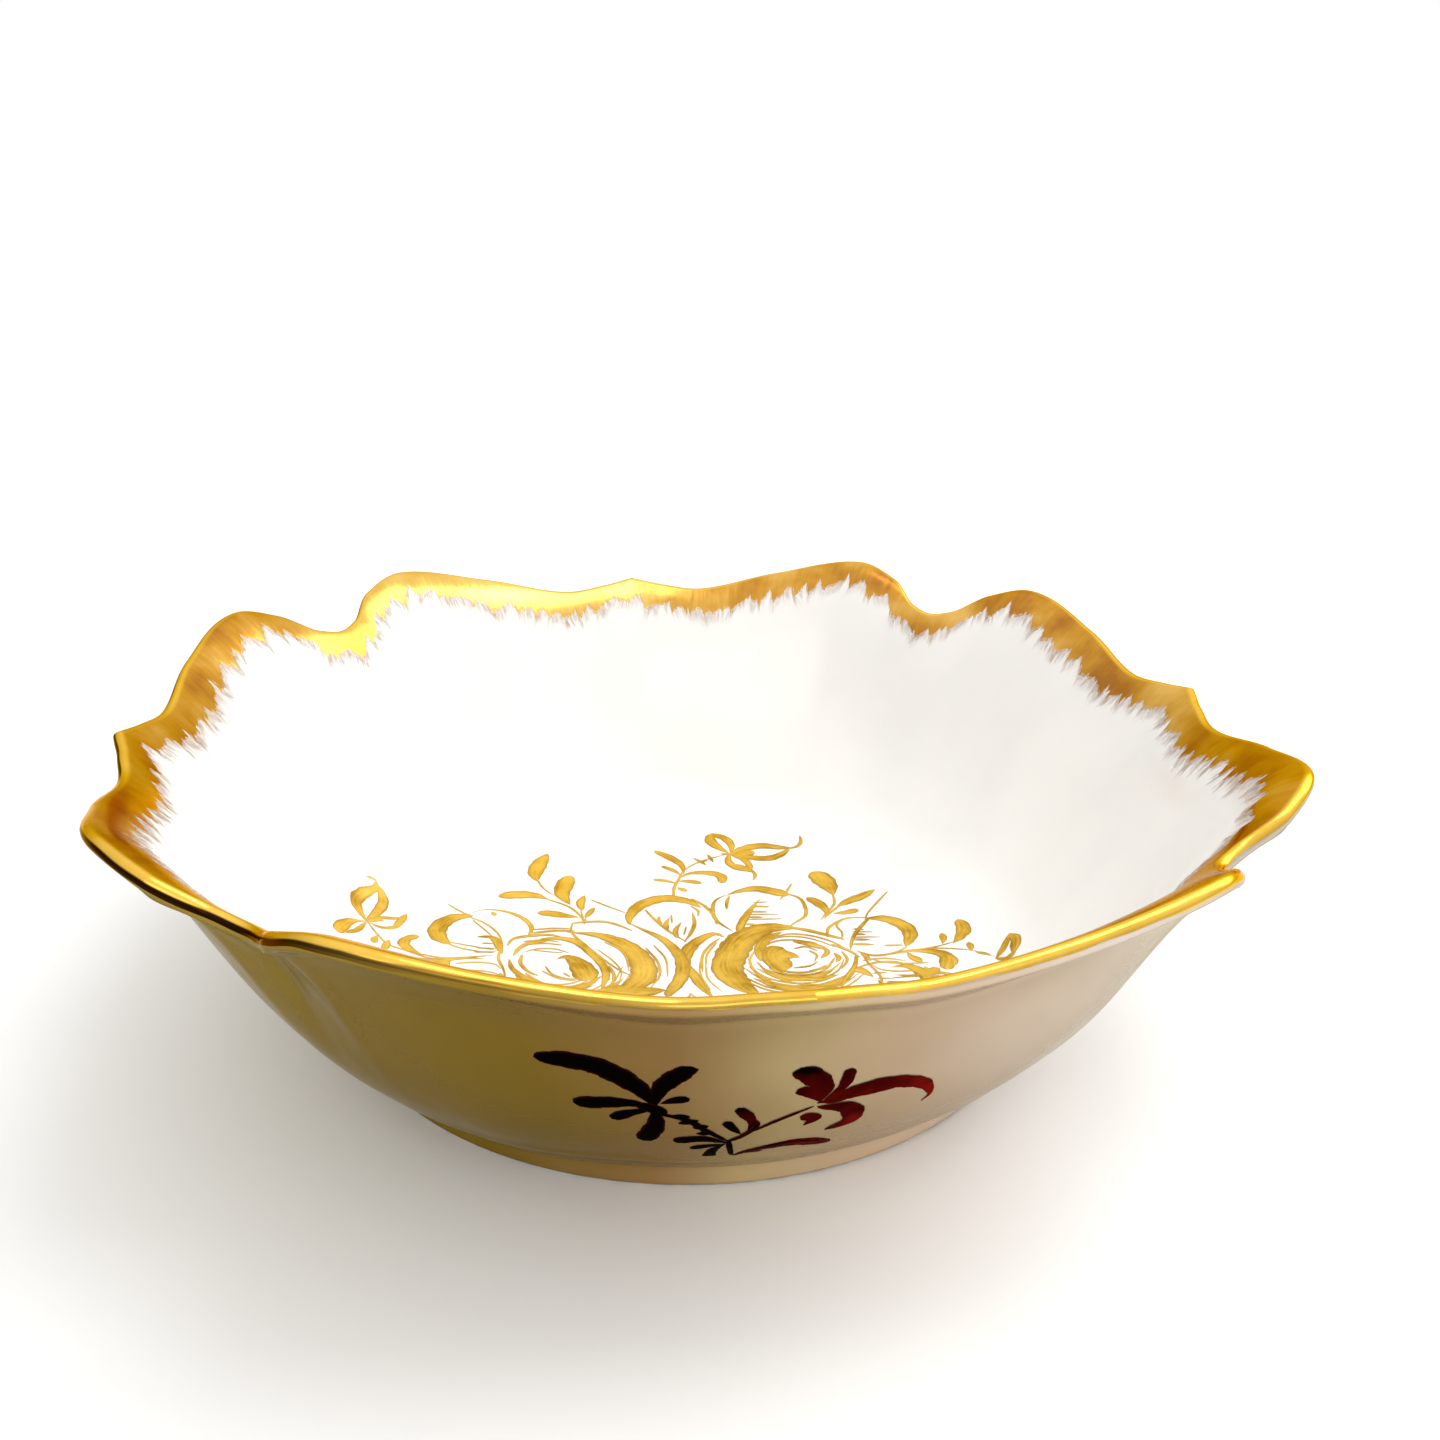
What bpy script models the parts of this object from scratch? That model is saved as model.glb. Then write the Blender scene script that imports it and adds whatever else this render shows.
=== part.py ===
"""A footed porcelain salad bowl with a lobed rim, a gilt rim band and gilt flower painting.

The frame: the middle of the foot is the origin, the table is z = 0, the four small cusps of
the rim are on +X, -X, +Y and -Y, and the four notches are half way between them. The side
that faces a diner is -Y. Everything below is in metres once multiplied by MM.
"""

import math

import bmesh
import bpy
import numpy as np

MM = 0.001

# ---------------------------------------------------------------- rim outline (mm, degrees)
# One eighth of the rim, from the middle of a side (the cusp) to a corner (the notch).
CUSP_RADIUS, CUSP_HEIGHT = 123.2, 67.4
CUSP_SIDE_ANGLE, CUSP_SIDE_RADIUS, CUSP_SIDE_HEIGHT = 4.0, 121.0, 66.0
DIP_ANGLE, DIP_RADIUS, DIP_HEIGHT = 9.0, 119.8, 64.8
RISE_ANGLE, RISE_RADIUS, RISE_HEIGHT = 21.0, 125.0, 69.5
CREST_ANGLE, CREST_RADIUS, CREST_HEIGHT = 32.5, 130.0, 74.0
SHOULDER_ANGLE, SHOULDER_RADIUS, SHOULDER_HEIGHT = 38.0, 127.4, 70.5
NECK_ANGLE, NECK_RADIUS, NECK_HEIGHT = 42.0, 121.6, 65.3
NOTCH_RADIUS, NOTCH_HEIGHT = 120.0, 64.0

# ---------------------------------------------------------------- body (mm)
FOOT_OUTER_RADIUS = 78.8
FOOT_WIDTH = 7.3
FOOT_HEIGHT = 5.2
FOOT_EDGE_ROUND = 1.2
FOOT_GAP = 0.3
FOOT_SETBACK = 0.2
WALL_START_SLOPE = 40.4
WALL_START_HANDLE = 31.3
WALL_END_HANDLE = 17.6
CREST_FLARE = 23.0
NOTCH_FLARE = 41.0
WALL_THICKNESS_LOW = 5.5
LIP_THICKNESS = 3.4
FLOOR_THICKNESS = 4.0
FLOOR_BLEND = 7.0

# ---------------------------------------------------------------- gilding (mm)
GILT_GAP = 0.3
GILT_THICKNESS = 0.35
LEAF_GAP = 0.4
LEAF_THICKNESS = 0.4
LEAF_STAGGER = 0.013
BAND_DEPTH = 9.0
BAND_DEPTH_CHANGE = 1.2
BAND_UNDER_LIP = 1.4
STEM_WIDTH = 1.0
TIP_WIDTH = 0.35
LEAF_ROOT = 0.9
BOUQUET_TURN_X, BOUQUET_TURN_Y = -2.0, -14.0

FOOT_INNER_RADIUS = FOOT_OUTER_RADIUS - FOOT_WIDTH
WALL_START_RADIUS = FOOT_OUTER_RADIUS + FOOT_SETBACK
BASE_HEIGHT = FOOT_HEIGHT + FOOT_GAP
FLOOR_HEIGHT = BASE_HEIGHT + FLOOR_THICKNESS
LIP_UNDERSIDE = 1.0 - BAND_UNDER_LIP / (3 * WALL_END_HANDLE)
LIP_ROUND = LIP_THICKNESS / 2
SKIN = GILT_GAP + GILT_THICKNESS

COLUMN_ANGLES = (0, 2.5, 5.5, 9, 14, 20, 26, 30, 33, 36, 38.5, 40.5, 42.5, 45)


def clear_scene():
    """Removes the startup objects and collections."""
    for scene_object in list(bpy.data.objects):
        bpy.data.objects.remove(scene_object)
    for collection in list(bpy.data.collections):
        bpy.data.collections.remove(collection)


def new_collection(name):
    collection = bpy.data.collections.new(name)
    bpy.context.scene.collection.children.link(collection)
    return collection


def new_material(name, colour, metallic, roughness):
    material = bpy.data.materials.new(name)
    material.use_nodes = True
    shader = material.node_tree.nodes["Principled BSDF"]
    shader.inputs["Base Color"].default_value = (*colour, 1.0)
    shader.inputs["Metallic"].default_value = metallic
    shader.inputs["Roughness"].default_value = roughness
    material.diffuse_color = (*colour, 1.0)
    material.metallic = metallic
    material.roughness = roughness
    return material


def new_object(name, points, faces, collection, colour, metallic=0.0, roughness=0.15):
    """Links a mesh object whose points are given in millimetres."""
    mesh = bpy.data.meshes.new(name)
    mesh.from_pydata([(x * MM, y * MM, z * MM) for x, y, z in points], [], faces)
    made = bpy.data.objects.new(name, mesh)
    collection.objects.link(made)
    bm = bmesh.new()
    bm.from_mesh(mesh)
    bmesh.ops.recalc_face_normals(bm, faces=bm.faces)
    bm.to_mesh(mesh)
    bm.free()
    mesh.materials.append(new_material(name, colour, metallic, roughness))
    return made


# ------------------------------------------------------------------ the surface of the bowl
RIM_KEYS = (
    (0.0, CUSP_RADIUS, CUSP_HEIGHT),
    (CUSP_SIDE_ANGLE, CUSP_SIDE_RADIUS, CUSP_SIDE_HEIGHT),
    (DIP_ANGLE, DIP_RADIUS, DIP_HEIGHT),
    (RISE_ANGLE, RISE_RADIUS, RISE_HEIGHT),
    (CREST_ANGLE, CREST_RADIUS, CREST_HEIGHT),
    (SHOULDER_ANGLE, SHOULDER_RADIUS, SHOULDER_HEIGHT),
    (NECK_ANGLE, NECK_RADIUS, NECK_HEIGHT),
    (45.0, NOTCH_RADIUS, NOTCH_HEIGHT),
)


def key_slopes(column):
    """Slopes of a smooth curve through the rim keys that never overshoots one of them."""
    slopes = []
    for i in range(1, len(RIM_KEYS) - 1):
        before, here, after = RIM_KEYS[i - 1], RIM_KEYS[i], RIM_KEYS[i + 1]
        rise_in = (here[column] - before[column]) / (here[0] - before[0])
        rise_out = (after[column] - here[column]) / (after[0] - here[0])
        if rise_in * rise_out <= 0:
            slopes.append(0.0)
        else:
            slopes.append(2 * rise_in * rise_out / (rise_in + rise_out))
    first = (RIM_KEYS[1][column] - RIM_KEYS[0][column]) / RIM_KEYS[1][0]
    return [first, *slopes, 0.0]


RIM_SLOPES = {column: key_slopes(column) for column in (1, 2)}


def rim_value(azimuth, column):
    """The rim's radius (column 1) or height (column 2) at an azimuth in degrees."""
    angle = abs((azimuth + 45.0) % 90.0 - 45.0)
    i = 0
    while i < len(RIM_KEYS) - 2 and angle > RIM_KEYS[i + 1][0]:
        i += 1
    low, high = RIM_KEYS[i], RIM_KEYS[i + 1]
    span = high[0] - low[0]
    s = (angle - low[0]) / span
    slope_low = RIM_SLOPES[column][i] * span
    slope_high = RIM_SLOPES[column][i + 1] * span
    return (
        (2 * s**3 - 3 * s**2 + 1) * low[column]
        + (s**3 - 2 * s**2 + s) * slope_low
        + (3 * s**2 - 2 * s**3) * high[column]
        + (s**3 - s**2) * slope_high
    )


def section(azimuth):
    """The outer wall's curve handles, the middle of the lip and the flare there, in (r, z)."""
    radius = rim_value(azimuth, 1)
    height = rim_value(azimuth, 2)
    share = (radius - NOTCH_RADIUS) / (CREST_RADIUS - NOTCH_RADIUS)
    flare = math.radians(NOTCH_FLARE + (CREST_FLARE - NOTCH_FLARE) * share)
    lip = np.array([radius - SKIN - LIP_ROUND, height - SKIN])
    end = lip + LIP_ROUND * np.array([math.sin(flare), -math.cos(flare)])
    before_end = end - WALL_END_HANDLE * np.array([math.cos(flare), math.sin(flare)])
    slope = math.radians(WALL_START_SLOPE)
    start = np.array([WALL_START_RADIUS, BASE_HEIGHT])
    after_start = start + WALL_START_HANDLE * np.array([math.cos(slope), math.sin(slope)])
    return (start, after_start, before_end, end), lip, flare


def wall_point(handles, t, lift=0.0):
    """A point of the outer wall, t from the foot (0) to the lip (1), lifted outwards."""
    a, b, c, d = handles
    point = (1 - t) ** 3 * a + 3 * (1 - t) ** 2 * t * b + 3 * (1 - t) * t**2 * c + t**3 * d
    along = (1 - t) ** 2 * (b - a) + 2 * (1 - t) * t * (c - b) + t**2 * (d - c)
    along /= math.hypot(*along)
    outward = np.array([along[1], -along[0]])
    return point + outward * lift


def wall_thickness(t):
    return WALL_THICKNESS_LOW + (LIP_THICKNESS - WALL_THICKNESS_LOW) * min(t / 0.75, 1.0)


def blended_height(height):
    """Rounds the corner between the flat floor and the wall's inner face."""
    share = min(max(0.5 + 0.5 * (height - FLOOR_HEIGHT) / FLOOR_BLEND, 0.0), 1.0)
    mixed = height * share + FLOOR_HEIGHT * (1 - share)
    return mixed + FLOOR_BLEND * share * (1 - share)


def inner_height(x, y):
    """The height of the inside of the bowl above a point of the table."""
    azimuth = math.degrees(math.atan2(y, x))
    radius = math.hypot(x, y)
    handles, _, _ = section(azimuth)
    foot = wall_point(handles, 0.0, -wall_thickness(0.0))
    if radius <= foot[0]:
        fall = (foot[0] - radius) * math.tan(math.radians(WALL_START_SLOPE))
        return blended_height(foot[1] - fall)
    low, high = 0.0, 1.0
    for _ in range(24):
        t = (low + high) / 2
        if wall_point(handles, t, -wall_thickness(t))[0] < radius:
            low = t
        else:
            high = t
    return blended_height(wall_point(handles, low, -wall_thickness(low))[1])


def on_inside(x, y, lift):
    """A point of the inside of the bowl at plan position (x, y), lifted off the glaze."""
    step = 0.5
    slope_x = (inner_height(x + step, y) - inner_height(x - step, y)) / (2 * step)
    slope_y = (inner_height(x, y + step) - inner_height(x, y - step)) / (2 * step)
    normal = np.array([-slope_x, -slope_y, 1.0])
    normal /= np.linalg.norm(normal)
    return np.array([x, y, inner_height(x, y)]) + normal * lift


def on_outside(azimuth, t, lift):
    """A point of the outside of the bowl, t from the foot (0) to the lip (1)."""
    handles, _, _ = section(azimuth)
    radius, height = wall_point(handles, t, lift)
    turn = math.radians(azimuth)
    return np.array([radius * math.cos(turn), radius * math.sin(turn), height])


def column_azimuths():
    """Azimuths round the bowl, closer together where the rim turns quickly."""
    eighth = list(COLUMN_ANGLES)
    quarter = eighth + [90 - angle for angle in eighth[-2:0:-1]]
    return [90 * turn + angle for turn in range(4) for angle in quarter]


def turned(profile, azimuth):
    turn = math.radians(azimuth)
    return [(r * math.cos(turn), r * math.sin(turn), z) for r, z in profile]


def loft_ring(rows_by_column):
    """Quads between neighbouring columns of points, the last column joined to the first."""
    count = len(rows_by_column)
    rows = len(rows_by_column[0])
    points = [point for column in rows_by_column for point in column]
    faces = []
    for i in range(count):
        j = (i + 1) % count
        for k in range(rows - 1):
            faces.append((i * rows + k, j * rows + k, j * rows + k + 1, i * rows + k + 1))
    return points, faces


def band_rows(azimuth):
    """Wall shares from the gilt band's inner edge up to the lip: less deep above a crest."""
    depth = BAND_DEPTH - BAND_DEPTH_CHANGE * math.cos(math.radians(8 * azimuth))
    return [1.0 - share * depth / (3 * WALL_END_HANDLE) for share in (1.0, 0.66, 0.33, 0.0)]


# ------------------------------------------------------------------------- porcelain pieces
def shell_profile(azimuth):
    """One column of the body, from the underside out, up the wall, over the lip and in."""
    handles, lip, flare = section(azimuth)
    profile = [(FOOT_INNER_RADIUS * 0.5, BASE_HEIGHT)]
    for t in (0.0, 0.08, 0.18, 0.3, 0.43, 0.57, 0.71, 0.82, 0.9, LIP_UNDERSIDE, 1.0):
        profile.append(tuple(wall_point(handles, t)))
    for turn in (45.0, 90.0, 135.0):
        angle = flare - math.pi / 2 + math.radians(turn)
        profile.append(
            (lip[0] + LIP_ROUND * math.cos(angle), lip[1] + LIP_ROUND * math.sin(angle))
        )
    for t in (*band_rows(azimuth)[::-1], 0.7, 0.6, 0.5, 0.38, 0.27, 0.17, 0.08, 0.0):
        radius, height = wall_point(handles, t, -wall_thickness(t))
        profile.append((radius, blended_height(height)))
    for radius in (70.5, 66.0, 60.0, 40.0, 20.0):
        foot = wall_point(handles, 0.0, -wall_thickness(0.0))
        fall = (foot[0] - radius) * math.tan(math.radians(WALL_START_SLOPE))
        profile.append((radius, blended_height(foot[1] - fall)))
    return profile


def make_bowl_shell(collection):
    columns = [turned(shell_profile(azimuth), azimuth) for azimuth in column_azimuths()]
    points, faces = loft_ring(columns)
    rows = len(columns[0])
    underside = len(points)
    points.append((0.0, 0.0, BASE_HEIGHT))
    points.append((0.0, 0.0, FLOOR_HEIGHT))
    for i in range(len(columns)):
        j = (i + 1) % len(columns)
        faces.append((underside, i * rows, j * rows))
        faces.append((underside + 1, j * rows + rows - 1, i * rows + rows - 1))
    return new_object("bowl_shell", points, faces, collection, (0.86, 0.83, 0.76))


def make_foot_ring(collection):
    """The foot: a square-section ring with rounded bottom edges, turned by a Screw."""
    mesh = bpy.data.meshes.new("foot_ring")
    corners = (
        (FOOT_OUTER_RADIUS, FOOT_HEIGHT),
        (FOOT_OUTER_RADIUS, FOOT_EDGE_ROUND),
        (FOOT_OUTER_RADIUS - 0.35 * FOOT_EDGE_ROUND, 0.35 * FOOT_EDGE_ROUND),
        (FOOT_OUTER_RADIUS - FOOT_EDGE_ROUND, 0.0),
        (FOOT_INNER_RADIUS + FOOT_EDGE_ROUND, 0.0),
        (FOOT_INNER_RADIUS + 0.35 * FOOT_EDGE_ROUND, 0.35 * FOOT_EDGE_ROUND),
        (FOOT_INNER_RADIUS, FOOT_EDGE_ROUND),
        (FOOT_INNER_RADIUS, FOOT_HEIGHT),
    )
    points = [(r * MM, 0.0, z * MM) for r, z in corners]
    edges = [(i, (i + 1) % len(points)) for i in range(len(points))]
    mesh.from_pydata(points, edges, [])
    ring = bpy.data.objects.new("foot_ring", mesh)
    collection.objects.link(ring)
    mesh.materials.append(new_material("foot_ring", (0.82, 0.79, 0.71), 0.0, 0.2))
    screw = ring.modifiers.new("turn", "SCREW")
    screw.steps = 72
    screw.render_steps = 72
    screw.use_merge_vertices = True
    screw.merge_threshold = 0.00001
    return ring


# ------------------------------------------------------------------------------ gilt pieces
GOLD = (0.72, 0.47, 0.12)
DARK_GILT = (0.12, 0.03, 0.02)


def band_layer(azimuth, lift):
    """The band's section at one distance off the glaze, from the inside over the lip."""
    handles, lip, flare = section(azimuth)
    layer = [wall_point(handles, t, -wall_thickness(t) - lift) for t in band_rows(azimuth)]
    for turn in (135.0, 90.0, 45.0):
        angle = flare - math.pi / 2 + math.radians(turn)
        reach = LIP_ROUND + lift
        layer.append(lip + reach * np.array([math.cos(angle), math.sin(angle)]))
    layer.append(wall_point(handles, 1.0, lift))
    layer.append(wall_point(handles, LIP_UNDERSIDE, lift))
    return layer


def make_rim_band(collection):
    columns = []
    for azimuth in column_azimuths():
        outer = band_layer(azimuth, SKIN)
        inner = band_layer(azimuth, GILT_GAP)
        loop = outer + inner[::-1]
        columns.append(turned([tuple(point) for point in loop + loop[:1]], azimuth))
    rows = len(columns[0])
    _, faces = loft_ring(columns)
    points = [point for column in columns for point in column[:-1]]
    faces = [
        tuple((v // rows) * (rows - 1) + (v % rows) % (rows - 1) for v in face)
        for face in faces
    ]
    return new_object("rim_gilt_band", points, faces, collection, GOLD, 1.0, 0.2)


def smooth_path(knots, count):
    """Points at even steps of a smooth curve through the knots."""
    knots = np.array(knots, float)
    if len(knots) == 2:
        return [knots[0] + (knots[1] - knots[0]) * i / (count - 1) for i in range(count)]
    ends = np.vstack([2 * knots[0] - knots[1], knots, 2 * knots[-1] - knots[-2]])
    path = []
    for i in range(count):
        s = i * (len(knots) - 1) / (count - 1)
        k = min(int(s), len(knots) - 2)
        u = s - k
        a, b, c, d = ends[k : k + 4]
        path.append(
            0.5
            * (
                2 * b
                + (c - a) * u
                + (2 * a - 5 * b + 4 * c - d) * u**2
                + (3 * b - a - 3 * c + d) * u**3
            )
        )
    return path


def brush_stroke(name, place, knots, width, swell, low, high, steps, collection, colour):
    """One flat stroke laid on the glaze.

    place turns (a, b, lift) into a point, swell is where along the stroke it is widest
    (None for an even stem), and low and high are its two faces' distances off the glaze.
    """
    path = smooth_path(knots, steps)
    points = []
    for i, here in enumerate(path):
        ahead = path[min(i + 1, steps - 1)] - path[max(i - 1, 0)]
        ahead /= math.hypot(*ahead)
        side = np.array([-ahead[1], ahead[0]])
        s = i / (steps - 1)
        if swell is None:
            half = width / 2
        else:
            fullness = s ** (swell / (1 - swell)) * (1 - s) if 0 < s < 1 else 0.0
            most = swell ** (swell / (1 - swell)) * (1 - swell)
            half = max(width / 2 * (fullness / most) ** 0.75, TIP_WIDTH / 2)
        for offset, lift in ((half, high), (-half, high), (-half, low), (half, low)):
            points.append(place(*(here + side * offset), lift))
    faces = [(0, 1, 2, 3), tuple(4 * (steps - 1) + k for k in (3, 2, 1, 0))]
    for i in range(steps - 1):
        for k in range(4):
            nxt = (k + 1) % 4
            faces.append((4 * i + k, 4 * i + 4 + k, 4 * i + 4 + nxt, 4 * i + nxt))
    return new_object(name, points, faces, collection, colour, 1.0, 0.25)


def join_strokes(base, strokes, cutters):
    """Unites leaves with their stem, and hides the strokes that were used."""
    for stroke in strokes:
        union = base.modifiers.new("join_" + stroke.name, "BOOLEAN")
        union.operation = "UNION"
        union.solver = "EXACT"
        union.object = stroke
        stroke.hide_render = True
        stroke.display_type = "WIRE"
    return base


def rooted(knots):
    """A leaf's knots with its foot carried back into the stem it grows from."""
    foot = np.array(knots[0], float)
    away = foot - np.array(knots[1], float)
    return [tuple(foot + away * LEAF_ROOT / math.hypot(*away)), *knots[1:]]


def make_spray(name, place, stem, leaves, collection, cutters, colour, scale=(1.0, 1.0)):
    """A stem with its leaves. Each leaf is (knots, width, place of its fullest part)."""
    stem_low, stem_high = GILT_GAP, GILT_GAP + GILT_THICKNESS
    base = brush_stroke(
        name, place, stem, STEM_WIDTH * scale[0], None, stem_low, stem_high, 7, collection, colour
    )
    strokes = []
    for i, (knots, width, swell) in enumerate(leaves):
        low = LEAF_GAP + LEAF_STAGGER * i
        high = LEAF_GAP + LEAF_THICKNESS + 1.7 * LEAF_STAGGER * i
        strokes.append(
            brush_stroke(
                f"{name}_leaf_{i}", place, rooted(knots), width * scale[1], swell, low, high, 8,
                cutters, colour,
            )
        )
    return join_strokes(base, strokes, cutters)


def crescent(name, place, knots, width, swell, collection, colour, steps=12):
    high = GILT_GAP + GILT_THICKNESS
    return brush_stroke(name, place, knots, width, swell, GILT_GAP, high, steps, collection, colour)


def turned_over(place):
    """The same motif turned half way round the middle of the bouquet."""
    return lambda x, y, lift: place(2 * BOUQUET_TURN_X - x, 2 * BOUQUET_TURN_Y - y, lift)


def spiral_knots(middle, start_radius, end_radius, start_angle, turns, count, squash):
    """Knots of a rose's stroke, wound from its heart outwards."""
    knots = []
    for i in range(count):
        s = i / (count - 1)
        radius = start_radius + (end_radius - start_radius) * s
        angle = math.radians(start_angle + 360 * turns * s)
        knots.append(
            (middle[0] + radius * math.cos(angle), middle[1] + squash * radius * math.sin(angle))
        )
    return knots


def make_roses(collection):
    """The two big roses: a heart stroke wound outwards that ends in a broad outer petal."""
    left = spiral_knots((-29.0, -9.5), 2.0, 12.0, 225.0, -1.5, 12, 0.95)
    left += [(-14.5, -7.0), (-13.5, -16.0), (-20.0, -25.0)]
    crescent("rose_left", on_inside, left, 4.0, 0.84, collection, GOLD, 56)
    right = spiral_knots((24.0, -12.5), 2.0, 12.0, -45.0, 1.5, 12, 0.95)
    right += [(8.5, -9.5), (6.8, -18.0), (12.0, -27.0)]
    crescent("rose_right", on_inside, right, 4.0, 0.84, collection, GOLD, 56)
    crescent(
        "centre_petal_left", on_inside,
        [(-9.5, 2.5), (-7.0, -6.0), (-6.5, -17.0), (-12.0, -28.0)], 3.2, 0.5, collection, GOLD,
    )
    crescent(
        "centre_petal_right", on_inside,
        [(3.2, 2.0), (-0.5, -6.0), (-1.2, -17.0), (2.5, -28.0)], 3.2, 0.5, collection, GOLD,
    )


BLOSSOMS = {
    "blossom_far_left": ([(-56, 2), (-60, 11), (-53, 18.5), (-43, 20), (-37.5, 12)], 4.6, 0.3),
    "blossom_left": ([(-11.5, 8), (-10.5, 16), (-3, 21), (4.5, 17), (6.5, 8)], 4.6, 0.35),
    "blossom_right": ([(9.5, 8), (12.5, 18), (21, 23), (28, 18), (29, 7)], 4.6, 0.45),
    "blossom_far_right": ([(46, 3), (53, 2), (55.5, -6), (49, -12)], 4.4, 0.55),
}

SPRAYS = {
    "spray_far_left": (
        [(-75.5, 13), (-72, 9), (-68.5, 4), (-62, -1)],
        [
            ([(-75, 12), (-79.5, 20), (-77, 26), (-75, 31)], 5.5, 0.45),
            ([(-75.5, 12.5), (-70, 14.5), (-67, 20)], 3.4, 0.5),
            ([(-74.5, 13), (-79, 9), (-81.5, 4)], 3.2, 0.6),
            ([(-69.5, 5), (-66.5, 8), (-62, 8)], 2.2, 0.6),
        ],
    ),
    "spray_left": (
        [(-24, 10.5), (-26, 18), (-30, 26), (-34, 34)],
        [
            ([(-34.2, 33), (-34.5, 41), (-31, 49)], 4.6, 0.5),
            ([(-30, 25), (-36, 29.5), (-44, 27)], 4.4, 0.6),
            ([(-26.3, 18), (-28.5, 28), (-26, 36)], 4.4, 0.55),
            ([(-24.5, 12), (-29.5, 16), (-35, 16.5)], 3.2, 0.6),
            ([(-24.6, 13), (-21.5, 18), (-22.5, 24)], 2.4, 0.6),
        ],
    ),
    "spray_centre": (
        [(1, 24), (3, 34), (9, 40), (17, 43)],
        [
            ([(2.8, 34), (3, 41), (-2, 48)], 4.2, 0.6),
            ([(3, 32.5), (9, 35), (14, 28)], 3.6, 0.5),
            ([(2, 29), (-2.5, 33), (-1.5, 38)], 2.6, 0.6),
            ([(16, 43), (18.5, 51), (13, 57)], 6.0, 0.6),
            ([(16, 42.5), (24, 47), (32, 44.5), (39, 51)], 7.0, 0.4),
            ([(16.5, 43.5), (21, 38), (22, 28)], 3.6, 0.4),
        ],
    ),
    "spray_right": (
        [(35, 7), (38, 12), (40.5, 20)],
        [
            ([(40.2, 18), (42, 24), (38, 30)], 5.6, 0.6),
            ([(37.5, 10.5), (44, 12), (51, 17.5)], 3.8, 0.6),
            ([(36.2, 8.5), (32.5, 12), (33.5, 17)], 2.8, 0.6),
            ([(35.5, 7), (40, 5), (45, 8)], 2.4, 0.6),
        ],
    ),
    "spray_far_right": (
        [(50, -16), (57, -13.5), (64, -13), (71, -19)],
        [
            ([(63, -13.5), (68.5, -9), (67.5, -1)], 4.6, 0.65),
            ([(57, -13), (60, -9), (61, -5)], 2.4, 0.6),
            ([(51.5, -15.5), (57, -17.5), (58.5, -23)], 2.8, 0.5),
            ([(70.5, -18.5), (73, -13.5), (76.5, -12)], 3.2, 0.5),
            ([(63.5, -13), (65.5, -18), (66, -20)], 2.2, 0.6),
        ],
    ),
}

TURNED_BLOSSOMS = ("blossom_far_left", "blossom_left", "blossom_right", "blossom_far_right")
TURNED_SPRAYS = ("spray_left", "spray_centre", "spray_right")

SPRIG_STEM = [(-102.2, 0.44), (-99.5, 0.40), (-96.5, 0.30), (-94.0, 0.235), (-91.5, 0.31), (-86.0, 0.43)]
SPRIG_LEAVES = [
    ([(-101.5, 0.42), (-103.5, 0.56), (-107, 0.635), (-111, 0.60)], 4.6, 0.6),
    ([(-102, 0.42), (-101, 0.55), (-98.3, 0.645)], 3.0, 0.65),
    ([(-101.5, 0.44), (-105, 0.465), (-109, 0.42)], 3.0, 0.6),
    ([(-102, 0.45), (-102.2, 0.33), (-103.3, 0.255)], 2.2, 0.55),
    ([(-93.5, 0.24), (-96.5, 0.275), (-100, 0.265)], 2.0, 0.6),
    ([(-94, 0.25), (-95.4, 0.17), (-95.5, 0.1)], 1.7, 0.55),
    ([(-92.5, 0.27), (-92.2, 0.36), (-94, 0.42)], 1.6, 0.6),
    ([(-93.6, 0.25), (-93, 0.15), (-88, 0.18), (-82, 0.145)], 2.0, 0.72),
    ([(-86.3, 0.41), (-86.2, 0.52), (-89, 0.605)], 3.4, 0.7),
    ([(-86, 0.42), (-84.6, 0.49), (-84, 0.575)], 1.5, 0.65),
    ([(-86.5, 0.43), (-80.5, 0.485), (-75.5, 0.44), (-73.2, 0.32)], 3.0, 0.35),
    ([(-86.5, 0.42), (-82.5, 0.39), (-81.5, 0.30), (-84, 0.26)], 2.4, 0.5),
]


def make_bouquet(collection, cutters):
    """The visible half as painted, and its turned copy for the half the lip hides."""
    make_roses(collection)
    for name, (knots, width, swell) in BLOSSOMS.items():
        crescent(name, on_inside, knots, width, swell, collection, GOLD)
    for name, (stem, leaves) in SPRAYS.items():
        make_spray(name, on_inside, stem, leaves, collection, cutters, GOLD)
    for name in TURNED_BLOSSOMS:
        knots, width, swell = BLOSSOMS[name]
        crescent("near_" + name, turned_over(on_inside), knots, width, swell, collection, GOLD)
    for name in TURNED_SPRAYS:
        stem, leaves = SPRAYS[name]
        make_spray(
            "near_" + name, turned_over(on_inside), stem, leaves, collection, cutters, GOLD
        )


def sprig_place(turn):
    """Places a sprig point given as (mm along the side, mm up it) from degrees and wall share."""
    per_degree = math.radians(1.0) * 95.0
    per_share = 72.0
    return lambda a, b, lift: on_outside(a / per_degree + turn, b / per_share, lift)


def make_sprigs(collection, cutters):
    """The dark sprig on the outside, and the one taken to be on the far side."""
    per_degree = math.radians(1.0) * 95.0
    per_share = 72.0
    stem = [(a * per_degree, t * per_share) for a, t in SPRIG_STEM]
    leaves = [
        ([(a * per_degree, t * per_share) for a, t in knots], width, swell)
        for knots, width, swell in SPRIG_LEAVES
    ]
    for name, turn in (("sprig_front", 0.0), ("sprig_back", 180.0)):
        make_spray(name, sprig_place(turn), stem, leaves, collection, cutters, DARK_GILT, (1.0, 1.6))


def main():
    clear_scene()
    bowl = new_collection("footed_lobed_bowl")
    cutters = new_collection("helpers")
    cutters.hide_render = True
    make_bowl_shell(bowl)
    make_foot_ring(bowl)
    make_rim_band(bowl)
    make_bouquet(bowl, cutters)
    make_sprigs(bowl, cutters)


main()
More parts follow.
